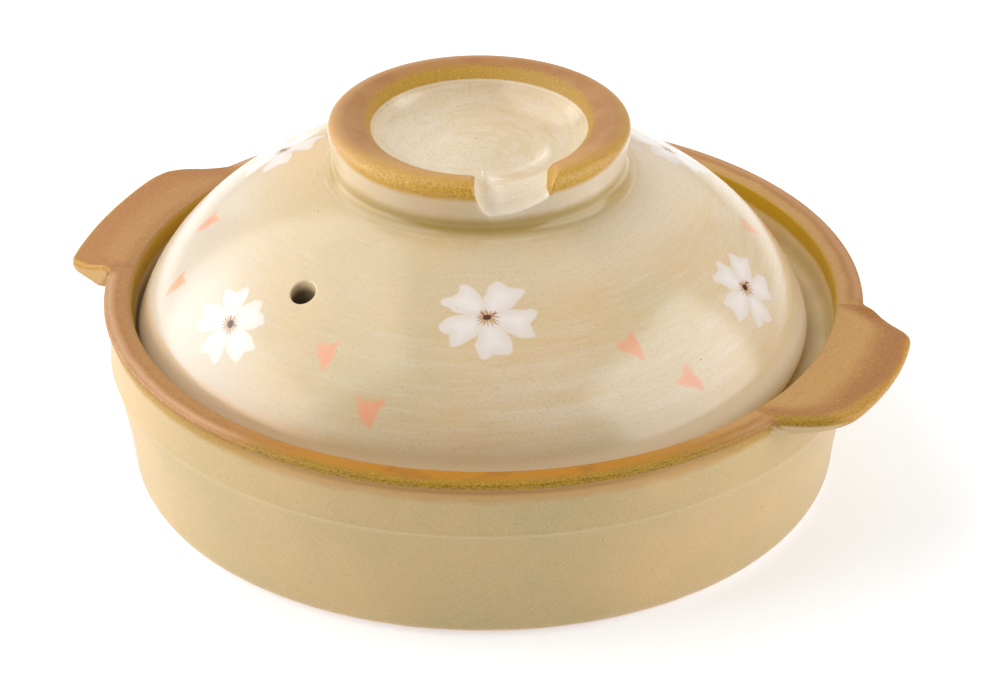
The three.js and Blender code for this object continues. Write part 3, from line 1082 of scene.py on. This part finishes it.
class PotGlaze(Glaze):
    """Sand on the wall and rust on the rim and lugs, with gold and olive edges, and a pale inside that is
    partly painted light.
    """

    def __init__(self):
        super().__init__("sand_and_rust_glaze", POT_GLOSS, POT_CLOUD, POT_MOTTLE, POT_GRAIN)
        graph = self.graph
        self.shader.inputs["Specular IOR Level"].default_value = POT_SHINE
        self.fine = graph.noise(self.place, *POT_FINE)
        self.edge = graph.attribute("from_edge")
        self.inside = graph.attribute("from_inside")
        self.nearness = graph.attribute("nearness")
        self.lug = graph.attribute("reach").ease(*LUG_START)
        self.rim = 1 - self.lug
        self.front = (self.toward + self.mottle.stray(FRONT_STRAY)).ease(*FRONT_ZONE) * self.rim
        self.right = self.aside.ease(*RIGHT_ZONE)
        self.olive = self.speckled(self.fine, OLIVE_DARK, OLIVE, GOLD)
        self.inward = self.edge + self.mottle.stray(BROAD_STRAY)
        self.grainy = self.edge + self.grain - NOISE_MIDDLE

    def wall(self):
        tone = self.graph.mix(self.cloud.ease(*POT_CLOUDS), SAND_GREEN, SAND_WARM)
        tone = tone.coat(SAND, self.mottle.ease(*PATCHES) * HALF)
        tone = tone.coat(SAND_PALE, self.grain.ease(*CLAY_GRAINS) * LIGHT)
        # Painted shade: the front of the wall coated greyer and darker.
        tone = tone.coat(SAND_SHADED, self.toward.ease(*FRONT_SHADE_ZONE) * FRONT_SHADE_SHARE)
        tone = tone.coat(SPECK, self.fine.ease(*FLECKS) * HINT)
        tone = tone.coat(SAND_PALE, self.fine.ease(*CLAY_FLECKS) * LIGHT)
        ridge = self.z.band(RIDGE_HEIGHT - RIDGE_LINE, RIDGE_HEIGHT + RIDGE_LINE, RIDGE_LINE)
        tone = tone.coat(SAND_PALE, ridge * PART)
        return tone.coat(BARE_CLAY, 1 - (self.z + self.mottle.stray(FINE_STRAY)).ease(*BARE_FOOT))

    def sandy(self):
        """The sandy part of the rim and lugs: away from the edge, and next to a lug's root. It is stronger
        on the right, where it is partly a painted sheen.
        """
        low = SANDY_START + SANDY_LUG_START * self.lug
        high = SANDY_FULL + SANDY_LUG_FULL * self.lug
        root = self.nearness.ease(*ROOT_NEAR) * self.inward.ease(*ROOT_INWARD) * self.rim
        sandy = self.graph.most(self.inward.ease(low, high), root)
        return sandy * (SANDY_LEFT + (1 - SANDY_LEFT) * self.right)

    def top(self):
        """Rust on the rim and lugs, deeper and paler in places, with a painted highlight along the rim's
        outer edge that is strongest on the left, and amber and olive in front.
        """
        grain, front = self.grain, self.front
        tone = self.graph.mix(self.sandy(), RUST, TAN)
        tone = tone.coat(RUST_DEEP, self.inward.band(*DEEP_BAND) * self.lug * self.right * PART)
        tone = tone.coat(GOLD_PALE, grain.ease(*PALE_GRAINS) * SOFT)
        tone = tone.coat(RUST_DEEP, grain.ease(*DARK_GRAINS) * THIN)
        amber = self.graph.mix(self.mottle.ease(*FLAMES) * HALF, AMBER, RUST_DEEP)
        tone = tone.coat(amber, front)
        # Painted highlight: a pale band along the rim's rounded outer edge, fading at the lugs' roots and
        # strongest on the left.
        painted_highlight = (self.edge + self.mottle.stray(HIGHLIGHT_AND_RING_STRAY) + grain.stray(BORDER_STRAY)).band(*PAINTED_HIGHLIGHT_BAND)
        painted_highlight = painted_highlight * (1 - self.nearness.ease(*PAINTED_HIGHLIGHT_END))
        tone = tone.coat(RUST_HIGHLIGHT, painted_highlight * (1 - front) * (HEAVY - PART * self.right))
        olive = 1 - (self.inward + grain.stray(BORDER_STRAY)).ease(*OLIVE_EDGE)
        return tone.coat(self.olive, olive * front)

    def lug_edges(self, tone):
        """Gold along the lugs' edges, olive on the near flank, over a face of pale clay."""
        lug, right = self.lug, self.right
        flank = self.y.ease(*NEAR_FLANK) * lug
        wide = self.y.ease(*WIDE_FLANK) * lug * right
        low = BEVEL_START + BEVEL_WIDE_START * wide
        high = BEVEL_FULL + BEVEL_WIDE_FULL * wide
        bevel = 1 - (self.inward + self.grain.stray(BORDER_STRAY)).ease(low, high)
        tone = tone.coat(self.gold, bevel * lug * HEAVY)
        tone = tone.coat(self.olive, bevel * flank * right * DENSE)
        face = 1 - self.grainy.ease(*LUG_FACE)
        tone = tone.coat(TAN, face * lug * STRONG)
        return tone.coat(SAND_PALE, face * flank * (FLANK_LEFT + HALF * right))

    def under_rim(self, tone):
        """An olive face under the rim and painted shade along the groove beneath it, over gold."""
        edge, grain = self.edge, self.grain
        bead = self.graph.mix(HALF, self.gold, OLIVE).coat(TAN, self.front)
        below = bead.coat(self.olive, (edge + grain.stray(FINE_STRAY)).ease(*BEAD_TOP))
        # Painted shade: a dark olive line along the groove, where the rim's undercut lies in shade.
        groove_shade = (edge + grain.stray(GROOVE_STRAY)).band(*BEAD_TOP, GROOVE_SHADE_SOFT)
        below = below.coat(OLIVE_DARK, groove_shade * HEAVY)
        return tone.coat(below, (1 - self.grainy.ease(*RIM_FACE)) * self.rim)

    def rusty(self):
        """Where the rust lies: all over the rim and lugs, and frayed below them."""
        frayed = self.edge + self.mottle.stray(FRAYED_BROAD) + self.grain.stray(FRAYED_FINE)
        fade = frayed.ease(RUST_END - self.front, RUST_FULL) * self.rim
        glazed = self.graph.most(fade * DENSE, self.lug * self.edge.ease(*LUG_RUST))
        return self.graph.most(glazed * self.z.ease(*RUST_HEIGHT), self.edge.ease(*SOLID_RUST))

    def lining(self):
        # The lining's colour is made paler to lighten the recess's shade: partly painted light.
        tone = self.graph.mix(self.mottle.ease(*PATCHES) * LIGHT, INSIDE, SAND)
        mustard = self.graph.mix(self.grain.ease(*MUSTARD_GRAINS) * HALF, MUSTARD, GOLD)
        low = (self.inside + self.mottle.stray(MUSTARD_STRAY)).ease(*MUSTARD_BAND)
        return tone.coat(mustard, 1 - low)

    def paint(self):
        grain = self.grain
        rusty = self.rusty()
        within = (self.inside + grain - NOISE_MIDDLE).ease(*INNER_LINE)
        tint = self.wall().coat(self.under_rim(self.lug_edges(self.top())), rusty)
        tint = tint.coat(self.lining(), within)
        dots = self.graph.most(*(self.specks(*kind) for kind in POT_SPECKS))
        tint = tint.coat(SPECK, dots * STRONG)
        dry = rusty * (1 - within)
        rough = POT_ROUGH + DRY_ROUGH * dry * (1 - self.front) + grain.stray(DRY_ROUGH)
        relief = MAIN * self.fine + MAIN * grain * dry + HALF * self.mottle
        return self.finish(tint, rough, relief, POT_RELIEF)


# Painted petals, in lengths of a petal, and the threads and dot of a blossom
PAINT_WARP = 3.4
PETALS = 5
PETAL_WIDEST = 0.78
PETAL_BACK = 0.64
PETAL_AHEAD = 0.5
PETAL_WIDTH = 0.345
PETAL_NOTCH = 0.12
PETAL_BLEND = 0.2
PETAL_EDGE = (-0.035, 0.03)
PETAL_HEART = (0.04, 0.26)
FALLEN_SIZE = 11.5
FALLEN_SWELL = 0.7
FALLEN_THIN = 0.04
FALLEN_END = 0.87
FALLEN_NOTCH = 0.16
FALLEN_BLEND = 0.14
FALLEN_GROWTH = 0.01
FALLEN_EDGE = (-0.04, 0.05)
FALLEN_HEART = (0.02, 0.14)
THREADS = 16
THREAD_EDGE = (0.08, 0.26)
THREAD_END = (2.8, 4.4)
LONG_THREADS = (64, -29)
LONG_THREAD_EDGE = (0.14, 0.34)
LONG_THREAD = (0, 3.4, 0.4)
DOT_EDGE = (0.9, 1.4)
BLOSSOM_SQUASH = 0.88

# Blossoms, as angle, radius, turn and size, and fallen petals, as angle, radius, turn and width
BLOSSOMS = (
    (-61.5, 78.7, 61, 16), (-118.9, 96.7, 50, 15.4), (3.7, 95.8, 40, 15.6),
    (181, 70.5, 20, 16.5), (52.2, 74.5, 66, 16.5), (117, 92, 34, 16.5),
)
FALLEN = (
    (-94.2, 94.6, -13, 0.38), (-83.2, 104, -7, 0.46),
    (-31.5, 93.8, -24, 0.36), (-22.7, 104.4, -34, 0.4),
    (26.7, 94, -15, 0.36), (36, 103, 10, 0.4),
    (85, 94, 8, 0.36), (95, 103, -12, 0.4),
    (145, 93, 0, 0.36), (155, 103, 14, 0.4),
    (-142.2, 101, 15, 0.38), (-153.8, 89, -8, 0.36),
)
SLOPE_STEP = 0.01


def surface_frame(angle, radius):
    """A place on the dome, the direction across the slope and the direction up it."""
    flat = polar(radius, angle)
    height = float(dome_height(np.array(radius), 0))
    across = np.array([-math.sin(math.radians(angle)), math.cos(math.radians(angle)), 0])
    rise = float(dome_height(np.array(radius - SLOPE_STEP), 0)) - height
    up = np.array([*(-flat / radius * SLOPE_STEP), rise])
    return np.array([*flat, height]), across, up / np.linalg.norm(up)


class Painting:
    """Blossoms and petals painted on the dome."""

    def __init__(self, graph, place):
        self.graph = graph
        warp = graph.noise(place, *PAINT_NOISE, output="Color")
        shift = graph.vector("SUBTRACT", warp, (NOISE_MIDDLE, NOISE_MIDDLE, NOISE_MIDDLE))
        self.place = graph.vector("ADD", place, graph.scaled(shift, PAINT_WARP))

    def local(self, angle, radius):
        middle, across, up = surface_frame(angle, radius)
        offset = self.graph.vector("SUBTRACT", self.place, tuple(middle))
        return self.graph.along(offset, across), self.graph.along(offset, up)

    def petal(self, x, y):
        """A broad petal along +X from the origin, with a shallow notch at its end."""
        graph = self.graph
        side = graph.size(y)
        short = graph.most((PETAL_WIDEST - x) / PETAL_BACK, (x - PETAL_WIDEST) / PETAL_AHEAD)
        flank = PETAL_WIDTH * graph.math("SQRT", graph.most(1 - short * short, 0)) - side
        tip = 1 + PETAL_NOTCH * (side / PETAL_WIDTH - 1) - x
        return graph.math("SMOOTH_MIN", flank, tip, PETAL_BLEND)

    def fallen_petal(self, angle, radius, turn, width):
        """A single petal, lying with its notched end up the slope and its point down."""
        graph = self.graph
        x, y = self.local(angle, radius)
        c, s = math.cos(math.radians(turn)), math.sin(math.radians(turn))
        up = graph.most((c * y + s * x) / FALLEN_SIZE + HALF, 0)
        side = graph.size(c * x - s * y) / FALLEN_SIZE
        flank = width * up * (1 + FALLEN_SWELL - FALLEN_SWELL * up) - side - FALLEN_THIN
        tip = FALLEN_END + FALLEN_NOTCH * side / width - up
        inside = graph.math("SMOOTH_MIN", flank, tip, FALLEN_BLEND) + FALLEN_GROWTH
        return inside.ease(*FALLEN_EDGE) * (HEAVY + (1 - HEAVY) * inside.ease(*FALLEN_HEART))

    def blossom(self, angle, radius, turn, size):
        """Petals round a middle, the whiter parts of them, and the middle's threads and dot."""
        graph = self.graph
        x, y = self.local(angle, radius)
        dot = 1 - graph.distance(x, y).ease(*DOT_EDGE)
        y = y / BLOSSOM_SQUASH
        far = graph.distance(x, y)
        around = graph.math("ARCTAN2", y, x)
        half = math.pi / PETALS
        fold = graph.math("WRAP", around - math.radians(turn), half, -half)
        petal = self.petal(far * graph.math("COSINE", fold) / size, far * graph.math("SINE", fold) / size)
        half = math.pi / THREADS
        saw = graph.math("WRAP", around, half, -half)
        line = 1 - (graph.size(saw) * far).ease(*THREAD_EDGE)
        threads = line * (1 - far.ease(*THREAD_END)) * MUCH
        for lean in LONG_THREADS:
            c, s = math.cos(math.radians(turn + lean)), math.sin(math.radians(turn + lean))
            line = 1 - graph.size(c * y - s * x).ease(*LONG_THREAD_EDGE)
            threads = graph.most(threads, line * (c * x + s * y).band(*LONG_THREAD))
        return petal.ease(*PETAL_EDGE), petal.ease(*PETAL_HEART), threads, dot


# Colours of the lid
CREAM = colour(201, 176, 134)
CREAM_WARM = colour(203, 172, 122)
CREAM_GREEN = colour(193, 173, 132)
SLIP = colour(216, 202, 184)
COOL_SLIP = colour(198, 188, 175)
# Pale glaze in the notch, and painted light on the lid's lower edge, the dish's left side and the dome's
# right side
PALE_GLAZE_AND_PAINTED_LIGHT = colour(242, 228, 206)
PETAL = colour(216, 205, 195)
PETAL_WHITE = colour(226, 218, 211)
PINK = colour(224, 150, 114)
THREAD = colour(150, 84, 44)
BROWN_DOT = colour(76, 34, 12)
EDGE_SAND = colour(198, 162, 114)
EDGE_LINE = colour(216, 164, 100)
POOL = colour(158, 130, 58)
# Dark paint down the vent's bore, standing for the shade inside it
VENT_SHADE = colour(120, 104, 78)

# Brush marks round the lid, as marks in a radian and the width of a mark
BROAD_MARKS = (1.6, 9)
SWIRL_MARKS = (2.2, 4)
STREAK_MARKS = (3.5, 1.6)
HAIR_MARKS = (7, 0.55)

# The lid's gloss and zones: toward its front and right, up from its edge, and in from its ring and dish
LID_GLOSS = 1.52
LID_ROUGH = 0.19
RING_ROUGH = 0.26
STREAK_ROUGH = 0.08
LID_RELIEF = 0.06
LEAST_RADIUS = 0.01
OUTSIDE_STEP = (0.4, 0.6)
DISH_START = (0.2, 2)
CUT_START = (0.5, 1.6)
VENT_START = (0.38, 0.5)
LEFT_SIDE = (-20, -85)
RIGHT_SIDE = (60, 100)
SLIP_FOOT = (28, 50)
SLIP_ASIDE = (-50, 40)
SLIP_THIN = 0.04
SLIP_COVERED = 0.16
SLIP_FADE = (-30, 20)
BRUSHED_BAND = (9, 64, 9)
SWIRL_LEAST = 0.12
SWIRL_MORE = 0.28
HIGH_START = (52, 72)
HIGH_END = (80, 86)
AHEAD_OF_KNOB = (30, 70)
AHEAD_ASIDE = (-25, 5)
RIGHT_OF_KNOB = (15, 60)
DISH_LEFT = (12, -20)
COOL_LEFT = (-50, -95)
PAINTED_LIGHT_RIGHT = (20, 80)
PAINTED_LIGHT_FOOT = (4, 13)
SANDY_FOOT = (6, 11)
SANDY_ASIDE = (0, -70)
PAINTED_LIGHT_EDGE = (2, 9)
LINE_BAND = (9.4, 10.6, 1)
LINE_LEFT = (-20, -80)
POOL_BAND = (-22.5, -17, 2.6)
POOL_FRONT = (-20, 40)
KNOB_SIDE = (-17, -6, 2)
KNOB_RIGHT = (-10, 45)
PALE_LINE = (-24.6, -24, 0.4)
RING_BEHIND = (12, -40)
RING_AHEAD = (10, 40)
RING_FOOT = -6.4
RING_FOOT_AHEAD = 2.8
RING_SOFT = 1.2
RING_END = (-0.5, 0.3)
RING_RIM = (-5.4, 1)
OLIVE_SHARE = 0.45
OLIVE_WIDTH = 1.6
OLIVE_BEHIND = 4.4
OLIVE_AHEAD = 1.2
NOTCH_END = (0.4, 2)
DISH_LIP = (-0.1, 0.7, 0.4)
NOTCH_LIP = (0, 1.2, 0.5)


class LidGlaze(Glaze):
    """Cream with brushed white slip and painted blossoms, and a rust ring round a cream dish."""

    def __init__(self):
        super().__init__("cream_and_olive_glaze", LID_GLOSS, LID_CLOUD, LID_MOTTLE, LID_GRAIN)
        graph = self.graph
        self.along = graph.attribute("along")
        self.ring = graph.attribute("from_ring")
        self.dish = graph.attribute("from_dish")
        self.notched = graph.attribute("cut").ease(*CUT_START)
        self.on_dome = graph.attribute("outside").ease(*OUTSIDE_STEP)
        self.in_dish = graph.most(self.dish.ease(*DISH_START), self.notched)
        self.radius = graph.most(graph.distance(self.x, self.y), LEAST_RADIUS)
        self.streak = self.brushed(*STREAK_MARKS)
        self.hair = self.brushed(*HAIR_MARKS)
        self.rightward = self.aside.ease(*KNOB_RIGHT)

    def brushed(self, around, width):
        """Marks of a brush that runs round the lid."""
        x, y = (part / self.radius * around for part in (self.x, self.y))
        turned = self.graph.node("CombineXYZ", {0: x, 1: y, 2: self.along / width})
        return self.graph.noise(turned, *BRUSH_NOISE)

    def slip(self):
        """How much white slip lies on the cream, brushed on the dome and swirled in the dish."""
        graph, along, aside = self.graph, self.along, self.aside
        sides = graph.most(aside.ease(*LEFT_SIDE), aside.ease(*RIGHT_SIDE))
        covered = graph.most(sides, 1 - along.ease(*SLIP_FOOT))
        slip = (SLIP_THIN + SLIP_COVERED * covered) * aside.ease(*SLIP_ASIDE)
        slip = slip + self.brushed(*BROAD_MARKS).ease(*PATCHES) * (TRACE + THIN * covered)
        slip = slip + self.streak.ease(*STREAKS) * FAINT
        slip = slip * (MAIN + (1 - MAIN) * aside.ease(*SLIP_FADE))
        slip = slip * along.band(*BRUSHED_BAND) + self.hair.ease(*HAIRS) * FAINT
        swirled = SWIRL_LEAST + SWIRL_MORE * self.brushed(*SWIRL_MARKS).ease(*SWIRLS)
        slip = slip + self.in_dish * (swirled + TRACE * self.streak.ease(*DISH_STREAKS))
        high = along.ease(*HIGH_START) * (1 - along.ease(*HIGH_END))
        ahead = self.toward.ease(*AHEAD_OF_KNOB) * aside.ease(*AHEAD_ASIDE)
        return graph.least(slip + high * (HALF * aside.ease(*RIGHT_OF_KNOB) + THIN * ahead), 1)

    def dome(self):
        """Cream under the slip, with sandy grains, cooler on the left, a pale notch, and painted light on
        the dish's left side and on the dome's right side.
        """
        aside, grain = self.aside, self.grain
        tone = self.graph.mix(self.cloud.ease(*LID_CLOUDS), CREAM_WARM, CREAM_GREEN)
        tone = tone.coat(CREAM, self.mottle.ease(*PATCHES) * HALF)
        tone = tone.coat(SLIP, self.slip())
        # Painted light: the dish's left side, which lies in shade, made paler.
        tone = tone.coat(PALE_GLAZE_AND_PAINTED_LIGHT, self.in_dish * LIGHT * aside.ease(*DISH_LEFT))
        tone = tone.coat(PALE_GLAZE_AND_PAINTED_LIGHT, self.notched * THIN)
        tone = tone.coat(EDGE_SAND, grain.ease(*SANDY_GRAINS) * LIGHT)
        tone = tone.coat(SPECK, grain.ease(*SPECK_GRAINS) * TRACE)
        tone = tone.coat(COOL_SLIP, aside.ease(*COOL_LEFT) * MUCH)
        # Painted light: the dome made a little paler on the right.
        return tone.coat(PALE_GLAZE_AND_PAINTED_LIGHT, aside.ease(*PAINTED_LIGHT_RIGHT) * BARELY)

    def foot(self, tone):
        """Painted light along the lower edge, where the lid sinks into the recess's shade, most on the
        right, with a sandy band and a thin line over it on the left.
        """
        aside = self.aside
        low = self.along + self.mottle.stray(FOOT_STRAY)
        # Painted light: the lower edge on the right made paler against the recess's shade.
        tone = tone.coat(PALE_GLAZE_AND_PAINTED_LIGHT, (1 - low.ease(*PAINTED_LIGHT_FOOT)) * aside.ease(*PAINTED_LIGHT_RIGHT) * HALF)
        sandy = 1 - (low + self.grain.stray(BROAD_STRAY)).ease(*SANDY_FOOT)
        tone = tone.coat(EDGE_SAND, sandy * MUCH * aside.ease(*SANDY_ASIDE))
        # Painted light: the lowest part of the edge made pale all round against the recess's shade.
        tone = tone.coat(PALE_GLAZE_AND_PAINTED_LIGHT, (1 - self.along.ease(*PAINTED_LIGHT_EDGE)) * DENSE)
        return tone.coat(EDGE_LINE, low.band(*LINE_BAND) * HALF * aside.ease(*LINE_LEFT))

    def painted(self, tone):
        painting = Painting(self.graph, self.place)
        pink, *others = (painting.fallen_petal(*spot) for spot in FALLEN)
        for petal in others:
            pink = self.graph.most(pink, petal)
        tone = tone.coat(PINK, pink * self.on_dome * (HEAVY + self.mottle.stray(HALF)))
        for spot in BLOSSOMS:
            petals, hearts, threads, dot = painting.blossom(*spot)
            tone = tone.coat(PETAL, petals * self.on_dome * FULL)
            tone = tone.coat(PETAL_WHITE, hearts * self.on_dome * MAIN)
            tone = tone.coat(THREAD, threads * self.on_dome)
            tone = tone.coat(BROWN_DOT, dot * self.on_dome)
        return tone

    def knob_root(self, tone):
        """The knob's side and root, where the glaze pools over a thin pale line."""
        side = self.ring.band(*KNOB_SIDE) * self.on_dome
        tone = tone.coat(SLIP, side * (LIGHT + LIGHT * self.rightward))
        fuzz = self.ring + self.mottle.stray(POOL_STRAY) + self.grain.stray(FINE_STRAY)
        pool = fuzz.band(*POOL_BAND) * self.on_dome
        tone = tone.coat(POOL, pool * (SOFT + HALF * self.toward.ease(*POOL_FRONT)))
        line = self.ring.band(*PALE_LINE) * self.mottle.ease(*BREAKS)
        return tone.coat(SLIP, line * self.on_dome * PART)

    def ring_tone(self, fuzz, ahead):
        """Rust, with gold outside and in front, and an olive band inside that widens at the back."""
        graph, grain = self.graph, self.grain
        tone = graph.mix(self.mottle.ease(*BREAKS) * LIGHT, RUST, TAN)
        tone = tone.coat(RUST_DEEP, grain.ease(*DARK_GRAINS) * LIGHT)
        rim = 1 - (fuzz + grain.stray(BROAD_STRAY)).ease(*RING_RIM)
        tone = tone.coat(graph.mix(graph.most(ahead, self.rightward * MAIN), TAN, self.gold), rim)
        tone = tone.coat(GOLD_BRIGHT, ahead * SOFT)
        tone = tone.coat(OLIVE_DARK, grain.ease(*OLIVE_GRAINS) * rim * ahead * PART)
        width = OLIVE_WIDTH + OLIVE_BEHIND * self.toward.ease(*RING_BEHIND) - OLIVE_AHEAD * ahead
        band = (self.dish + width + grain.stray(BROAD_STRAY)).ease(-RING_SOFT, RING_SOFT)
        tone = tone.coat(graph.mix(OLIVE_SHARE, self.gold, OLIVE), band)
        return tone.coat(self.gold, graph.attribute("end").ease(*NOTCH_END))

    def paint(self):
        graph, dish, notched = self.graph, self.dish, self.notched
        ahead = self.toward.ease(*RING_AHEAD)
        fuzz = self.ring + self.mottle.stray(HIGHLIGHT_AND_RING_STRAY) + self.grain.stray(BORDER_STRAY)
        foot = RING_FOOT - RING_FOOT_AHEAD * ahead
        on_ring = fuzz.ease(foot - RING_SOFT, foot + RING_SOFT)
        on_ring = on_ring * (1 - (dish + self.grain.stray(GROOVE_STRAY)).ease(*RING_END))
        dry = on_ring * (1 - notched)
        tint = self.knob_root(self.painted(self.foot(self.dome())))
        tint = tint.coat(self.ring_tone(fuzz, ahead), dry)
        lip = dish.band(*DISH_LIP) * (1 - notched)
        lip = graph.most(lip, graph.attribute("across").band(*NOTCH_LIP) * notched)
        tint = tint.coat(SLIP, lip * HALF * self.on_dome)
        # Painted shade: the vent's bore painted dark down its depth.
        tint = tint.coat(VENT_SHADE, graph.attribute("depth").ease(*VENT_START))
        dots = graph.most(*(self.specks(*kind) for kind in LID_SPECKS))
        tint = tint.coat(SPECK, dots * HEAVY)
        rough = LID_ROUGH + RING_ROUGH * dry + self.streak.stray(STREAK_ROUGH)
        relief = HALF * self.streak + THIN * self.hair + MAIN * self.mottle + STRONG * self.grain * dry
        return self.finish(tint, rough, relief, LID_RELIEF)


pot = pot_skin()
pot.data.materials.append(PotGlaze().paint())
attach(pot, "pot")
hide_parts("pot_body", "right_lug", "left_lug")

lid = lid_skin()
lid.data.materials.append(LidGlaze().paint())
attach(lid, "lid")
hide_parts("lid_dome", "lid_knob")


# Stage, lights and camera, in metres, degrees and pixels
FLOOR_SIZE = 12
FLOOR_DROP = 0.0005
FLOOR_COLOUR = (0.66, 0.67, 0.68, 1)
FLOOR_ROUGH = 0.7
FLOOR_SHINE = 0.2
FLOOR_GLOW = 0.4
WHITE = (1, 1, 1, 1)
SKY_GLOW = 0.2
VIEW_AZIMUTH = -65
VIEW_ELEVATION = 28.86
VIEW_DISTANCE = 1.275
VIEW_HEIGHT = 0.0607
FOCUS_PIXELS = 3783.3
IMAGE_WIDTH = 1000
SENSOR = 36
SHIFT_PIXELS = (16.5, -51.8)


def floor():
    half = FLOOR_SIZE / 2
    made = bpy.data.meshes.new("floor")
    places = [(-half, -half, 0), (half, -half, 0), (half, half, 0), (-half, half, 0)]
    made.from_pydata(places, [], [(0, 1, 2, 3)])
    piece = bpy.data.objects.new("floor", made)
    piece.location.z = -FLOOR_DROP
    bpy.context.scene.collection.objects.link(piece)
    paint = bpy.data.materials.new("pale_floor")
    paint.use_nodes = True
    inputs = paint.node_tree.nodes["Principled BSDF"].inputs
    inputs["Base Color"].default_value = FLOOR_COLOUR
    inputs["Roughness"].default_value = FLOOR_ROUGH
    inputs["Specular IOR Level"].default_value = FLOOR_SHINE
    inputs["Emission Color"].default_value = WHITE
    inputs["Emission Strength"].default_value = FLOOR_GLOW
    made.materials.append(paint)


def direction(azimuth, elevation):
    turn, lift = math.radians(azimuth), math.radians(elevation)
    return Vector((math.cos(lift) * math.cos(turn), math.cos(lift) * math.sin(turn), math.sin(lift)))


# Lights, as azimuth from the camera's, elevation, distance, width, height and power
LIGHTS = {
    "left_softbox": (-98, 34, 1.5, 2.2, 2.5, 36),
    "left_fill": (-88, 14, 1.6, 2.4, 1.1, 13),
    "right_softbox": (79, 22, 1.5, 1.6, 1.35, 20),
    "back_softbox": (180, 30, 1.8, 2.4, 1.8, 9),
    "top_softbox": (0, 88, 1.6, 1.6, 1.6, 5),
    "dish_spark": (-175.5, 23.8, 1.8, 0.1, 0.1, 0.25),
}


def softbox(name, azimuth, elevation, distance, width, height, power):
    """A rectangular light that faces the pot."""
    light = bpy.data.lights.new(name, "AREA")
    light.shape = "RECTANGLE"
    light.size = width
    light.size_y = height
    light.energy = power
    lamp = bpy.data.objects.new(name, light)
    way = direction(VIEW_AZIMUTH + azimuth, elevation)
    lamp.location = Vector((0, 0, VIEW_HEIGHT)) + distance * way
    lamp.rotation_euler = way.to_track_quat("Z", "Y").to_euler()
    bpy.context.scene.collection.objects.link(lamp)


def camera():
    data = bpy.data.cameras.new("camera")
    data.sensor_width = SENSOR
    data.lens = FOCUS_PIXELS / IMAGE_WIDTH * SENSOR
    data.shift_x = SHIFT_PIXELS[0] / IMAGE_WIDTH
    data.shift_y = SHIFT_PIXELS[1] / IMAGE_WIDTH
    view = bpy.data.objects.new("camera", data)
    way = direction(VIEW_AZIMUTH, VIEW_ELEVATION)
    view.location = Vector((0, 0, VIEW_HEIGHT)) + VIEW_DISTANCE * way
    view.rotation_euler = way.to_track_quat("Z", "Y").to_euler()
    bpy.context.scene.collection.objects.link(view)
    bpy.context.scene.camera = view


def surroundings():
    world = bpy.data.worlds.new("studio")
    world.use_nodes = True
    sky = world.node_tree.nodes["Background"]
    sky.inputs["Color"].default_value = WHITE
    sky.inputs["Strength"].default_value = SKY_GLOW
    bpy.context.scene.world = world
    bpy.context.scene.view_settings.view_transform = "Standard"


floor()
for name, setting in LIGHTS.items():
    softbox(name, *setting)
surroundings()
camera()
